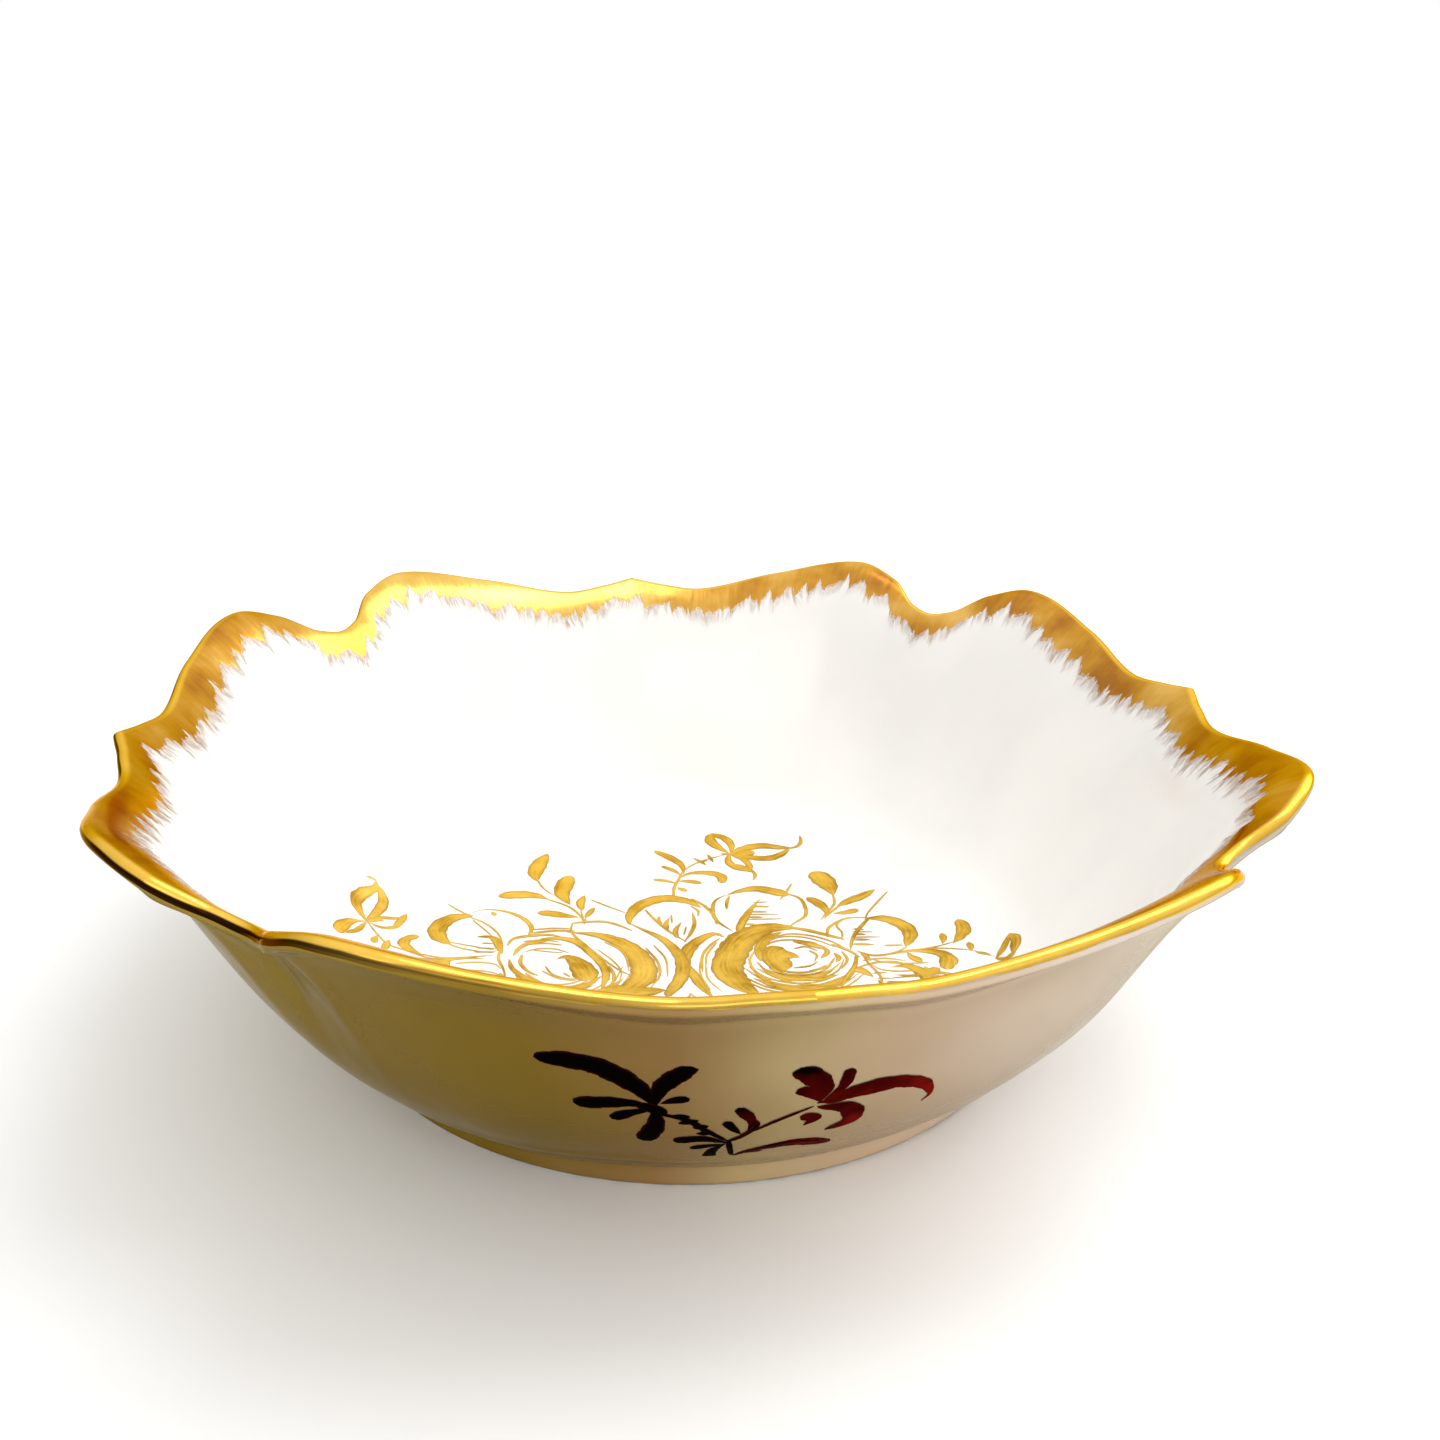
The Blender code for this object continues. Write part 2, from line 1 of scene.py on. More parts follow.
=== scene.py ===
"""A footed porcelain salad bowl with a lobed rim, brushed gilding and painted gold flowers.

The bowl stands with the middle of its foot at the origin. The four small cusps of the rim are
on the X and Y axes and the side facing the diner is -Y. Sizes are held in millimetres and
turned into metres where a mesh is made.
"""

import logging
import math
import random
from dataclasses import dataclass, field, replace
from enum import Enum

import bpy
import numpy as np
from mathutils import Matrix, Vector

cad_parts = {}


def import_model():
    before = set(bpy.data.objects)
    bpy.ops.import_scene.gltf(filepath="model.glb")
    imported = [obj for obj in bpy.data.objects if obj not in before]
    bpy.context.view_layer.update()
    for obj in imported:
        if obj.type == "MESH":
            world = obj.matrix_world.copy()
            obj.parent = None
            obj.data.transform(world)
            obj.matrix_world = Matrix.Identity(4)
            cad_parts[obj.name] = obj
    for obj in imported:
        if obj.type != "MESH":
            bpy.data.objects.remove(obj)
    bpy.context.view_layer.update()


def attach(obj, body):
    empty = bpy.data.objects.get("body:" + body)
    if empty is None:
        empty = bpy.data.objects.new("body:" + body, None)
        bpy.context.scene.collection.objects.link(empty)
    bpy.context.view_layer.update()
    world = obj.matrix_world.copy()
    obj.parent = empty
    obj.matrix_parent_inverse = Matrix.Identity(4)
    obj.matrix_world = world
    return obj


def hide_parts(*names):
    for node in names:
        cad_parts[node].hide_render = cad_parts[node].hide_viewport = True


LOG = logging.getLogger("bowl")
MM = 0.001
ROUND_SCALE = 125.0  # the rim's radius in mm, which turns an angle into a length along the brush
NOISE_BAND = (0.3, 0.7)  # nearly all values of a noise lie in it

Colour = tuple[float, float, float]
Face = tuple[int, ...]
Knot = tuple[float, float]
Place = tuple[float, float, float]
Range = tuple[float, float]
Socket = bpy.types.NodeSocket


# ================================================================================= geometry
def from_cusp(azimuth: np.ndarray) -> np.ndarray:
    """Degrees from the nearest cusp of the rim: 0 at a cusp, 45 at a notch."""
    return np.abs((np.asarray(azimuth, float) + 45.0) % 90.0 - 45.0)


def heading(angle: np.ndarray) -> np.ndarray:
    """Unit vectors (cos, sin) of angles in radians."""
    return np.stack([np.cos(angle), np.sin(angle)], -1)


def unit(vectors: np.ndarray) -> np.ndarray:
    """The vectors brought to length 1."""
    return vectors / np.linalg.norm(vectors, axis=-1, keepdims=True)


def hump(x: np.ndarray, middle: float, width: float) -> np.ndarray:
    """A smooth rise to 1 at the middle and back to 0."""
    return np.exp(-(((x - middle) / width) ** 2))


def turned(points: np.ndarray, azimuth: np.ndarray) -> np.ndarray:
    """Turns section points (r, z) to azimuths in degrees, as (x, y, z)."""
    flat = points[..., :1] * heading(np.radians(azimuth))
    return np.concatenate([flat, points[..., 1:]], -1)


def column_azimuths(per_eighth: int) -> np.ndarray:
    """Azimuths round the whole bowl, closer together near each notch and each cusp."""
    s = np.linspace(0.0, 1.0, per_eighth + 1)
    both_ends = s - 0.299 * np.sin(2 * np.pi * s) / (2 * np.pi)
    eighth = 45.0 * (0.62 * both_ends + 0.38 * (1 - (1 - s) ** 1.9))
    quarter = np.concatenate([eighth, 90.0 - eighth[-2:0:-1]])
    return np.concatenate([quarter + 90.0 * turn for turn in range(4)])


@dataclass(frozen=True)
class BowlForm:
    """The surface of the bowl: its rim outline and the wall's section at any azimuth.

    The rim's keys run from a cusp to a notch, and the crest is their widest.
    """

    rim_angles: tuple[float, ...] = (0.0, 4.0, 9.0, 21.0, 32.5, 38.0, 42.0, 45.0)
    rim_radii: tuple[float, ...] = (123.2, 121.0, 119.8, 125.0, 130.0, 127.4, 121.6, 120.0)
    rim_heights: tuple[float, ...] = (67.4, 66.0, 64.8, 69.5, 74.0, 70.5, 65.3, 64.0)
    base_height: float = 5.5
    floor_height: float = 9.5
    floor_blend: float = 7.0
    wall_start_radius: float = 79.0
    wall_start_slope: float = 40.4
    start_handle: float = 31.3
    corner_slope: float = 33.0
    corner_handle: float = 36.6
    corner_span: Range = (12.0, 32.0)
    end_handle: float = 17.6
    crest_flare: float = 23.0
    notch_flare: float = 41.0
    wall_low: float = 5.5
    thinned_at: float = 0.75
    lip: float = 3.0
    inset: float = 0.12
    drop: float = 1.2
    halvings: int = 22
    slope_step: float = 0.4

    def rim(self, azimuth: np.ndarray, values: tuple[float, ...]) -> np.ndarray:
        """Follows a smooth curve through the rim's keys.

        Args:
            azimuth: Azimuths in degrees.
            values: One value for each of rim_angles.

        Returns:
            The value at each azimuth.
        """
        keys, vals = np.array(self.rim_angles), np.array(values)
        rise = np.diff(vals) / np.diff(keys)
        slopes = np.zeros(len(keys))
        slopes[0] = rise[0]
        for k, (before, after) in enumerate(zip(rise, rise[1:]), 1):
            if before * after > 0:
                slopes[k] = 2 * before * after / (before + after)
        angle = from_cusp(azimuth)
        i = np.clip(np.searchsorted(keys, angle, side="right") - 1, 0, len(keys) - 2)
        span = keys[i + 1] - keys[i]
        s = (angle - keys[i]) / span
        return (
            (2 * s**3 - 3 * s**2 + 1) * vals[i]
            + (s**3 - 2 * s**2 + s) * slopes[i] * span
            + (3 * s**2 - 2 * s**3) * vals[i + 1]
            + (s**3 - s**2) * slopes[i + 1] * span
        )

    def corner(self, azimuth: np.ndarray) -> np.ndarray:
        """How much of the corners' fuller belly the wall has: 0 at mid side, 1 at a corner."""
        low, high = self.corner_span
        s = np.clip((from_cusp(azimuth) - low) / (high - low), 0.0, 1.0)
        return s * s * (3.0 - 2.0 * s)

    def section(self, azimuth: np.ndarray) -> tuple[list[np.ndarray], np.ndarray, np.ndarray]:
        """Gives the outer wall's section curve.

        Args:
            azimuth: Azimuths in degrees.

        Returns:
            The four handles of the wall's curve, the middle of the lip's rounding, both in
            (r, z), and the flare angle in radians.
        """
        radius = self.rim(azimuth, self.rim_radii)
        height = self.rim(azimuth, self.rim_heights)
        crest, notch = max(self.rim_radii), self.rim_radii[-1]
        share = (radius - notch) / (crest - notch)
        flare = np.radians(self.notch_flare + (self.crest_flare - self.notch_flare) * share)
        along = heading(flare)
        lip = np.stack([radius - self.inset - self.lip / 2, height - self.drop], -1)
        end = lip + self.lip / 2 * np.stack([along[..., 1], -along[..., 0]], -1)
        full = self.corner(azimuth)
        fuller = (self.corner_slope - self.wall_start_slope) * full
        handle = self.start_handle + (self.corner_handle - self.start_handle) * full
        start = np.broadcast_to([self.wall_start_radius, self.base_height], end.shape)
        leaves = heading(np.radians(self.wall_start_slope + fuller))
        second = start + handle[..., None] * leaves
        return [start, second, end - self.end_handle * along, end], lip, flare

    @staticmethod
    def along_wall(handles: list[np.ndarray], t: np.ndarray, lift: np.ndarray) -> np.ndarray:
        """Points of the outer wall's curve.

        Args:
            handles: What section gives.
            t: Share of the way from the foot (0) to the lip (1), for each azimuth.
            lift: Distance outwards from the wall, in mm; inwards when negative.

        Returns:
            Points in (r, z).
        """
        a, b, c, d = handles
        t = np.asarray(t, float)[..., None]
        point = (1 - t) ** 3 * a + 3 * (1 - t) ** 2 * t * b + 3 * (1 - t) * t**2 * c + t**3 * d
        ahead = unit((1 - t) ** 2 * (b - a) + 2 * (1 - t) * t * (c - b) + t**2 * (d - c))
        outward = np.stack([ahead[..., 1], -ahead[..., 0]], -1)
        return point + outward * np.asarray(lift, float)[..., None]

    def round_lip(
        self, lip: np.ndarray, flare: np.ndarray, turn: np.ndarray | float, lift: float = 0.0
    ) -> np.ndarray:
        """Points of the lip's rounding.

        Args:
            lip: The middle of the rounding, from section.
            flare: The flare angle, from section.
            turn: Degrees over the lip: 0 at the outer wall, 180 at the inner one.
            lift: Distance off the glaze in mm.

        Returns:
            Points in (r, z).
        """
        return lip + (self.lip / 2 + lift) * heading(flare - math.pi / 2 + np.radians(turn))

    def thickness(self, t: np.ndarray) -> np.ndarray:
        """The wall's thickness at a share t of its height, in mm."""
        share = np.minimum(np.asarray(t) / self.thinned_at, 1.0)
        return self.wall_low + (self.lip - self.wall_low) * share

    def blended(self, height: np.ndarray) -> np.ndarray:
        """Rounds the inner corner between the flat floor and the wall."""
        share = np.clip(0.5 + 0.5 * (height - self.floor_height) / self.floor_blend, 0.0, 1.0)
        mixed = height * share + self.floor_height * (1 - share)
        return mixed + self.floor_blend * share * (1 - share)

    def skirt(self, handles: list[np.ndarray], radius: np.ndarray) -> tuple[np.ndarray, ...]:
        """Carries the inner wall's line on inwards and down.

        Args:
            handles: What section gives.
            radius: Radii inside the wall, in mm.

        Returns:
            The inner wall's lowest radius, and the line's height at each radius.
        """
        zero = np.zeros(handles[0].shape[:-1])
        foot = self.along_wall(handles, zero, -self.thickness(zero))
        fall = (foot[..., 0] - radius) * math.tan(math.radians(self.wall_start_slope))
        return foot[..., 0], foot[..., 1] - fall

    def inner(self, azimuth: np.ndarray, t: np.ndarray, lift: float = 0.0) -> np.ndarray:
        """Points of the inside wall in (r, z) at shares t of its height."""
        handles, _, _ = self.section(azimuth)
        points = self.along_wall(handles, t, -self.thickness(t) - lift)
        return np.stack([points[..., 0], self.blended(points[..., 1])], -1)

    def inner_height(self, x: np.ndarray, y: np.ndarray) -> np.ndarray:
        """The height of the inside of the bowl above plan positions in mm."""
        radius = np.hypot(x, y)
        handles, _, _ = self.section(np.degrees(np.arctan2(y, x)))
        low, high = np.zeros_like(radius), np.ones_like(radius)
        for _ in range(self.halvings):
            t = (low + high) / 2
            below = self.along_wall(handles, t, -self.thickness(t))[..., 0] < radius
            low, high = np.where(below, t, low), np.where(below, high, t)
        wall = self.along_wall(handles, low, -self.thickness(low))[..., 1]
        edge, skirt = self.skirt(handles, radius)
        return self.blended(np.where(radius <= edge, skirt, wall))

    def on_inside(self, plan: np.ndarray, lift: np.ndarray) -> np.ndarray:
        """Puts plan positions onto the inside of the bowl.

        Args:
            plan: Positions (x, y) in mm.
            lift: Distance off the glaze in mm, one for each position.

        Returns:
            Points (x, y, z) in mm.
        """
        x, y = plan[..., 0], plan[..., 1]
        step = self.slope_step
        slope_x = (self.inner_height(x + step, y) - self.inner_height(x - step, y)) / (2 * step)
        slope_y = (self.inner_height(x, y + step) - self.inner_height(x, y - step)) / (2 * step)
        normal = unit(np.stack([-slope_x, -slope_y, np.ones_like(x)], -1))
        place = np.stack([x, y, self.inner_height(x, y)], -1)
        return place + normal * np.asarray(lift)[..., None]

    def on_outside(self, place: np.ndarray, lift: np.ndarray) -> np.ndarray:
        """Puts (azimuth in degrees, share of the wall's height) onto the outside, in mm."""
        handles, _, _ = self.section(place[..., 0])
        return turned(self.along_wall(handles, place[..., 1], lift), place[..., 0])


# ============================================================================== mesh helpers
def link_up(name: str, data: bpy.types.ID | None) -> bpy.types.Object:
    """Makes an object at the origin and puts it in the scene."""
    made = bpy.data.objects.new(name, data)
    bpy.context.scene.collection.objects.link(made)
    return made


def add_uv(mesh: bpy.types.Mesh, name: str, values: np.ndarray) -> None:
    """Gives a mesh a UV map from one (u, v) for each vertex."""
    layer = mesh.uv_layers.get(name) or mesh.uv_layers.new(name=name)
    index = np.empty(len(mesh.loops), np.int32)
    mesh.loops.foreach_get("vertex_index", index)
    layer.data.foreach_set("uv", np.asarray(values, np.float32)[index].ravel())


def make_mesh(
    name: str,
    points: np.ndarray,
    faces: list[Face],
    materials: list[bpy.types.Material],
    slots: list[int] | None = None,
    brush: np.ndarray | None = None,
) -> bpy.types.Object:
    """Makes a smooth-shaded mesh object at the origin.

    Args:
        name: The piece's name.
        points: Vertices in mm.
        faces: Vertex indices of each face, seen from outside anticlockwise.
        materials: Its material slots.
        slots: The slot of each face; all the first when left out.
        brush: One (u, v) for each vertex, which the brush's streaks follow.

    Returns:
        The linked object.
    """
    mesh = bpy.data.meshes.new(name)
    mesh.from_pydata([tuple(p) for p in np.asarray(points, float) * MM], [], faces)
    for material in materials:
        mesh.materials.append(material)
    if slots is not None:
        mesh.polygons.foreach_set("material_index", slots)
    if brush is not None:
        add_uv(mesh, "brush", brush)
    mesh.polygons.foreach_set("use_smooth", [True] * len(mesh.polygons))
    mesh.update()
    return link_up(name, mesh)


def grid_faces(columns: int, rows: int, round_columns: bool, round_rows: bool) -> list[Face]:
    """Quads of a grid of points.

    Args:
        columns: Number of columns.
        rows: Number of points in a column.
        round_columns: Whether the last column meets the first.
        round_rows: Whether each column is a closed loop.

    Returns:
        The faces.
    """
    faces = []
    for i in range(columns if round_columns else columns - 1):
        j = (i + 1) % columns
        for k in range(rows if round_rows else rows - 1):
            n = (k + 1) % rows
            faces.append((i * rows + k, j * rows + k, j * rows + n, i * rows + n))
    return faces


def add_node(
    tree: bpy.types.NodeTree, kind: str, feeds: dict | None = None, **settings: object
) -> bpy.types.Node:
    """Adds a node to any tree.

    Args:
        tree: The material's, world's or geometry tree.
        kind: The node's type.
        feeds: For each input, by name or number, its value or the socket that feeds it.
        **settings: The node's own properties.

    Returns:
        The node.
    """
    made = tree.nodes.new(kind)
    for key, value in settings.items():
        setattr(made, key, value)
    for key, value in (feeds or {}).items():
        if isinstance(value, Socket):
            tree.links.new(value, made.inputs[key])
        else:
            made.inputs[key].default_value = value
    return made


# ================================================================================== finishes
class NodeSheet:
    """A material's node tree with short calls for the nodes these finishes need."""

    MIX_FACTOR, MIX_FIRST, MIX_SECOND, MIX_COLOUR = 0, 6, 7, 2

    def __init__(self, name: str) -> None:
        """Makes the material and keeps its tree and its shader."""
        self.material = bpy.data.materials.new(name)
        self.material.use_nodes = True
        self.tree = self.material.node_tree
        self.shader = self.tree.nodes["Principled BSDF"]

    def coords(self, kind: str = "Object", scale: Place = (1.0, 1.0, 1.0)) -> Socket:
        """Scaled coordinates.

        Args:
            kind: "Object", or the name of a UV map.
            scale: Factor along each axis.

        Returns:
            The vector socket.
        """
        if kind == "Object":
            source = add_node(self.tree, "ShaderNodeTexCoord").outputs["Object"]
        else:
            source = add_node(self.tree, "ShaderNodeUVMap", uv_map=kind).outputs["UV"]
        feeds = {"Vector": source, "Scale": scale}
        return add_node(self.tree, "ShaderNodeMapping", feeds).outputs["Vector"]

    def axis(self, vector: Socket, name: str) -> Socket:
        """One axis of a vector, "X", "Y" or "Z"."""
        return add_node(self.tree, "ShaderNodeSeparateXYZ", {0: vector}).outputs[name]

    def noise(self, vector: Socket, scale: float, detail: float, rough: float = 0.5) -> Socket:
        """A noise value between 0 and 1."""
        feeds = {"Vector": vector, "Scale": scale, "Detail": detail, "Roughness": rough}
        return add_node(self.tree, "ShaderNodeTexNoise", feeds).outputs["Fac"]

    def reckon(self, operation: str, first: Socket, second: Socket) -> Socket:
        """Adds or multiplies two values."""
        feeds = {0: first, 1: second}
        return add_node(self.tree, "ShaderNodeMath", feeds, operation=operation).outputs[0]

    def ramp(self, factor: Socket, stops: list[tuple[float, Colour]]) -> Socket:
        """A colour ramp with the given (place, colour) stops."""
        made = add_node(self.tree, "ShaderNodeValToRGB", {"Fac": factor})
        elements = made.color_ramp.elements
        while len(elements) < len(stops):
            elements.new(0.5)
        for element, (place, colour) in zip(elements, stops):
            element.position = place
            element.color = (*colour, 1.0)
        return made.outputs["Color"]

    def mix(
        self, factor: Socket | float, first: Socket, second: Socket | Colour, blend: str = "MIX"
    ) -> Socket:
        """Lays a second colour over the first by a factor."""
        if isinstance(second, tuple):
            second = (*second, 1.0)
        feeds = {self.MIX_FACTOR: factor, self.MIX_FIRST: first, self.MIX_SECOND: second}
        made = add_node(self.tree, "ShaderNodeMix", feeds, data_type="RGBA", blend_type=blend)
        return made.outputs[self.MIX_COLOUR]

    def span(self, value: Socket, source: Range, target: Range) -> Socket:
        """Maps one range of a value onto another."""
        feeds = {"Value": value, "From Min": source[0], "From Max": source[1]}
        feeds |= {"To Min": target[0], "To Max": target[1]}
        return add_node(self.tree, "ShaderNodeMapRange", feeds).outputs["Result"]

    def feed(self, name: str, value: Socket) -> None:
        """Feeds one of the shader's inputs."""
        self.tree.links.new(value, self.shader.inputs[name])

    def bump(self, height: Socket, distance: float, strength: float) -> None:
        """Adds a bump to the shader's normal, distance in metres."""
        feeds = {"Height": height, "Distance": distance, "Strength": strength}
        self.feed("Normal", add_node(self.tree, "ShaderNodeBump", feeds).outputs["Normal"])

    def set(self, **values: float | tuple[float, ...]) -> None:
        """Sets the shader's own sockets; underscores stand for spaces."""
        for key, value in values.items():
            self.shader.inputs[key.replace("_", " ")].default_value = value


@dataclass(frozen=True)
class WhiteGlaze:
    """Clear gloss glaze over white porcelain, as inside the bowl."""

    name: str = "white_glaze"
    cool: Colour = (0.80, 0.785, 0.755)
    warm: Colour = (0.86, 0.84, 0.80)
    speck: Colour = (0.55, 0.50, 0.42)
    drift_scale: float = 22.0
    speck_scale: float = 75.0
    speck_edge: Range = (0.022, 0.030)
    speck_places: Range = (0.60, 0.64)
    place_scale: float = 60.0
    gloss_scale: float = 140.0
    gloss: Range = (0.14, 0.22)
    ripple_scale: float = 95.0
    ripple_depth: float = 0.00006

    def build(self) -> bpy.types.Material:
        """Makes the material: slow colour drift, rare specks, a faint ripple in the glaze."""
        sheet = NodeSheet(self.name)
        place = sheet.coords()
        drift = sheet.noise(place, self.drift_scale, 3.0)
        body = sheet.ramp(drift, [(0.35, self.cool), (0.65, self.warm)])
        feeds = {"Vector": place, "Scale": self.speck_scale}
        dots = add_node(sheet.tree, "ShaderNodeTexVoronoi", feeds).outputs["Distance"]
        speckle = sheet.span(dots, self.speck_edge, (1.0, 0.0))
        rare = sheet.noise(place, self.place_scale, 1.0)
        rare = sheet.span(rare, self.speck_places, (0.0, 0.5))
        specks = sheet.reckon("MULTIPLY", speckle, rare)
        sheet.feed("Base Color", sheet.mix(specks, body, self.speck))
        patches = sheet.noise(place, self.gloss_scale, 2.0)
        sheet.feed("Roughness", sheet.span(patches, NOISE_BAND, self.gloss))
        sheet.bump(sheet.noise(place, self.ripple_scale, 3.0, 0.55), self.ripple_depth, 0.5)
        sheet.set(IOR=1.52, Coat_Weight=0.3, Coat_Roughness=0.12)
        sheet.set(Subsurface_Weight=0.08, Subsurface_Scale=0.002)
        return sheet.material


@dataclass(frozen=True)
class ShadedTaupeGlaze:
    """The outside's lustre glaze in painted shade: olive brown on the -X side, as if shaded, to
    pinkish beige on +X, as if lit.
    """

    name: str = "taupe_glaze_painted_shade"
    gain: float = 1.0
    edge: tuple[float, ...] = (0.50, 0.42, 0.26, 1.0)
    # Painted shade stops along X: dark olive where the outside is shaded, pale beige where it is
    # lit.
    tones: tuple[tuple[float, Colour], ...] = (
        (0.12, (0.290, 0.205, 0.035)),
        (0.31, (0.225, 0.145, 0.018)),
        (0.41, (0.310, 0.185, 0.070)),
        (0.51, (0.480, 0.370, 0.185)),
        (0.62, (0.560, 0.420, 0.290)),
        (0.76, (0.670, 0.580, 0.510)),
        (0.90, (0.480, 0.425, 0.350)),
    )
    half_width: float = 0.12
    cloud: Range = (-0.065, 0.065)
    cloud_scale: float = 11.0
    grain: tuple[Colour, Colour] = ((0.95, 0.95, 0.94), (1.0, 1.0, 1.0))
    grain_scale: float = 70.0
    gloss_scale: float = 120.0
    gloss: Range = (0.17, 0.25)
    ripple_scale: float = 30.0
    ripple_depth: float = 0.00003

    def build(self) -> bpy.types.Material:
        """Makes the material: painted shade runs across the bowl along X, with soft clouds in the
        glaze.
        """
        sheet = NodeSheet(self.name)
        place = sheet.coords()
        side = (-self.half_width, self.half_width)
        # The colour is painted shade that follows X across the bowl.
        across = sheet.span(sheet.axis(place, "X"), side, (0.0, 1.0))
        cloud = sheet.span(sheet.noise(place, self.cloud_scale, 2.0), NOISE_BAND, self.cloud)
        stops = [(at, tuple(self.gain * part for part in tone)) for at, tone in self.tones]
        tone = sheet.ramp(sheet.reckon("ADD", across, cloud), stops)
        grain = sheet.noise(place, self.grain_scale, 1.0)
        fine = sheet.ramp(grain, list(zip(NOISE_BAND, self.grain)))
        sheet.feed("Base Color", sheet.mix(1.0, tone, fine, "MULTIPLY"))
        patches = sheet.noise(place, self.gloss_scale, 2.0)
        sheet.feed("Roughness", sheet.span(patches, NOISE_BAND, self.gloss))
        sheet.bump(sheet.noise(place, self.ripple_scale, 0.0), self.ripple_depth, 0.1)
        sheet.set(IOR=1.2, Metallic=0.55, Specular_Tint=self.edge)
        return sheet.material


@dataclass(frozen=True)
class BareFoot:
    """The foot's wiped bottom edge, where the porcelain is unglazed and has rubbed dark."""

    name: str = "bare_foot"
    clay: Colour = (0.46, 0.38, 0.27)
    grime: Colour = (0.13, 0.10, 0.07)
    patch_scale: float = 180.0
    grit_scale: float = 900.0
    grit_depth: float = 0.0001

    def build(self) -> bpy.types.Material:
        """Makes the material: fine grain with worn, darker patches."""
        sheet = NodeSheet(self.name)
        place = sheet.coords()
        patches = sheet.noise(place, self.patch_scale, 6.0, 0.65)
        sheet.feed("Base Color", sheet.ramp(patches, [(0.38, self.grime), (0.62, self.clay)]))
        sheet.bump(sheet.noise(place, self.grit_scale, 3.0), self.grit_depth, 0.5)
        sheet.set(Roughness=0.75)
        return sheet.material


@dataclass(frozen=True)
class BrushedGold:
    """Fired gold laid on with a brush: streaks run along or across its UV map."""

    name: str = "rim_gold"
    deep: Colour = (0.42, 0.17, 0.030)
    mid: Colour = (0.59, 0.29, 0.040)
    bright: Colour = (0.76, 0.46, 0.115)
    # Near black for the painted shade on the lip's outer hem; in the painted flowers, their brown
    # outline.
    outline_and_hem_shade: Colour = (0.025, 0.008, 0.002)
    # Painted highlight: a brighter gold laid over the lip's rounding.
    lip_highlight: Colour = (0.95, 0.62, 0.085)
    # Painted highlight: the gold is mixed towards this pale colour round one spot at the back left.
    pale: Colour = (0.87, 0.64, 0.17)
    highlight_place: Place = (-0.045, 0.118, 0.070)
    highlight_reach: Range = (0.02, 0.08)
    lip_zone: bool = True
    lip_highlight_band: Range = (0.2, -0.5)
    hem_shade_band: Range = (-1.2, -1.4)
    hem_shade_side: Range = (-0.075, 0.005)
    outline: float = 0.0
    outline_band: Range = (0.55, 1.0)
    pool_scale: float = 55.0
    streaks: Range = (0.8, 0.10)
    streak_share: float = 0.14
    roughness: Range = (0.14, 0.26)
    grazing: tuple[float, ...] = (0.85, 0.58, 0.22, 1.0)
    hair_depth: float = 0.00004

    def build(self) -> bpy.types.Material:
        """Makes the material: colour, gloss and relief all follow the brush."""
        sheet = NodeSheet(self.name)
        place = sheet.coords()
        hairs = sheet.noise(sheet.coords("brush", (*self.streaks, 1.0)), 1.0, 5.0, 0.6)
        pools = sheet.noise(place, self.pool_scale, 3.0)
        load = sheet.reckon(
            "ADD",
            sheet.span(hairs, NOISE_BAND, (0.0, self.streak_share)),
            sheet.span(pools, NOISE_BAND, (0.0, 1.0 - self.streak_share)),
        )
        colour = sheet.ramp(load, [(0.16, self.deep), (0.48, self.mid), (0.88, self.bright)])
        if self.lip_zone:
            colour = self.dress_lip(sheet, place, colour)
        if self.outline:
            rim = sheet.axis(sheet.coords("tone"), "Y")
            edge = sheet.span(rim, self.outline_band, (0.0, self.outline))
            colour = sheet.mix(edge, colour, self.outline_and_hem_shade)
        sheet.feed("Base Color", colour)
        sheet.feed("Roughness", sheet.span(hairs, (0.35, 0.65), self.roughness))
        sheet.bump(hairs, self.hair_depth, 0.3)
        sheet.set(Metallic=1.0, Specular_Tint=self.grazing)
        return sheet.material

    def dress_lip(self, sheet: NodeSheet, place: Socket, colour: Socket) -> Socket:
        """Lays painted light on the gold: a painted highlight near the far left, a painted
        highlight over the lip and painted shade darkening the outer hem.

        Args:
            sheet: The material being made.
            place: Object coordinates.
            colour: The gold's colour so far.

        Returns:
            The colour with the three zones laid over it.
        """
        # Painted highlight round one spot at the back left.
        feeds = {0: place, 1: self.highlight_place}
        gap = add_node(sheet.tree, "ShaderNodeVectorMath", feeds, operation="DISTANCE")
        highlight_mix = sheet.span(gap.outputs["Value"], self.highlight_reach, (0.5, 0.0))
        colour = sheet.mix(highlight_mix, colour, self.pale)
        outwards = sheet.axis(sheet.coords("brush"), "Y")
        # Painted highlight over the lip's rounding.
        rubbed = sheet.span(outwards, self.lip_highlight_band, (0.0, 0.6))
        colour = sheet.mix(rubbed, colour, self.lip_highlight)
        # Painted shade: the outer hem darkens, strongest towards -X.
        fade = sheet.span(sheet.axis(place, "X"), self.hem_shade_side, (1.0, 0.1))
        hem = sheet.span(outwards, self.hem_shade_band, (0.0, 1.0))
        return sheet.mix(sheet.reckon("MULTIPLY", fade, hem), colour, self.outline_and_hem_shade)


@dataclass(frozen=True)
class DryGold:
    """Gold dragged thin by an almost dry brush, so the glaze greys it."""

    name: str = "dry_gold"
    thin: Colour = (0.74, 0.67, 0.63)
    full: Colour = (0.55, 0.41, 0.30)
    streaks: Place = (0.9, 0.5, 1.0)
    gloss: Range = (0.35, 0.55)

    def build(self) -> bpy.types.Material:
        """Makes the material: each mark fades towards its end."""
        sheet = NodeSheet(self.name)
        brush = sheet.coords("brush", self.streaks)
        load = sheet.noise(brush, 1.0, 3.0)
        sheet.feed("Base Color", sheet.ramp(load, [(0.35, self.full), (0.65, self.thin)]))
        sheet.feed("Roughness", sheet.span(sheet.noise(brush, 3.0, 2.0), NOISE_BAND, self.gloss))
        sheet.set(Metallic=0.25)
        return sheet.material


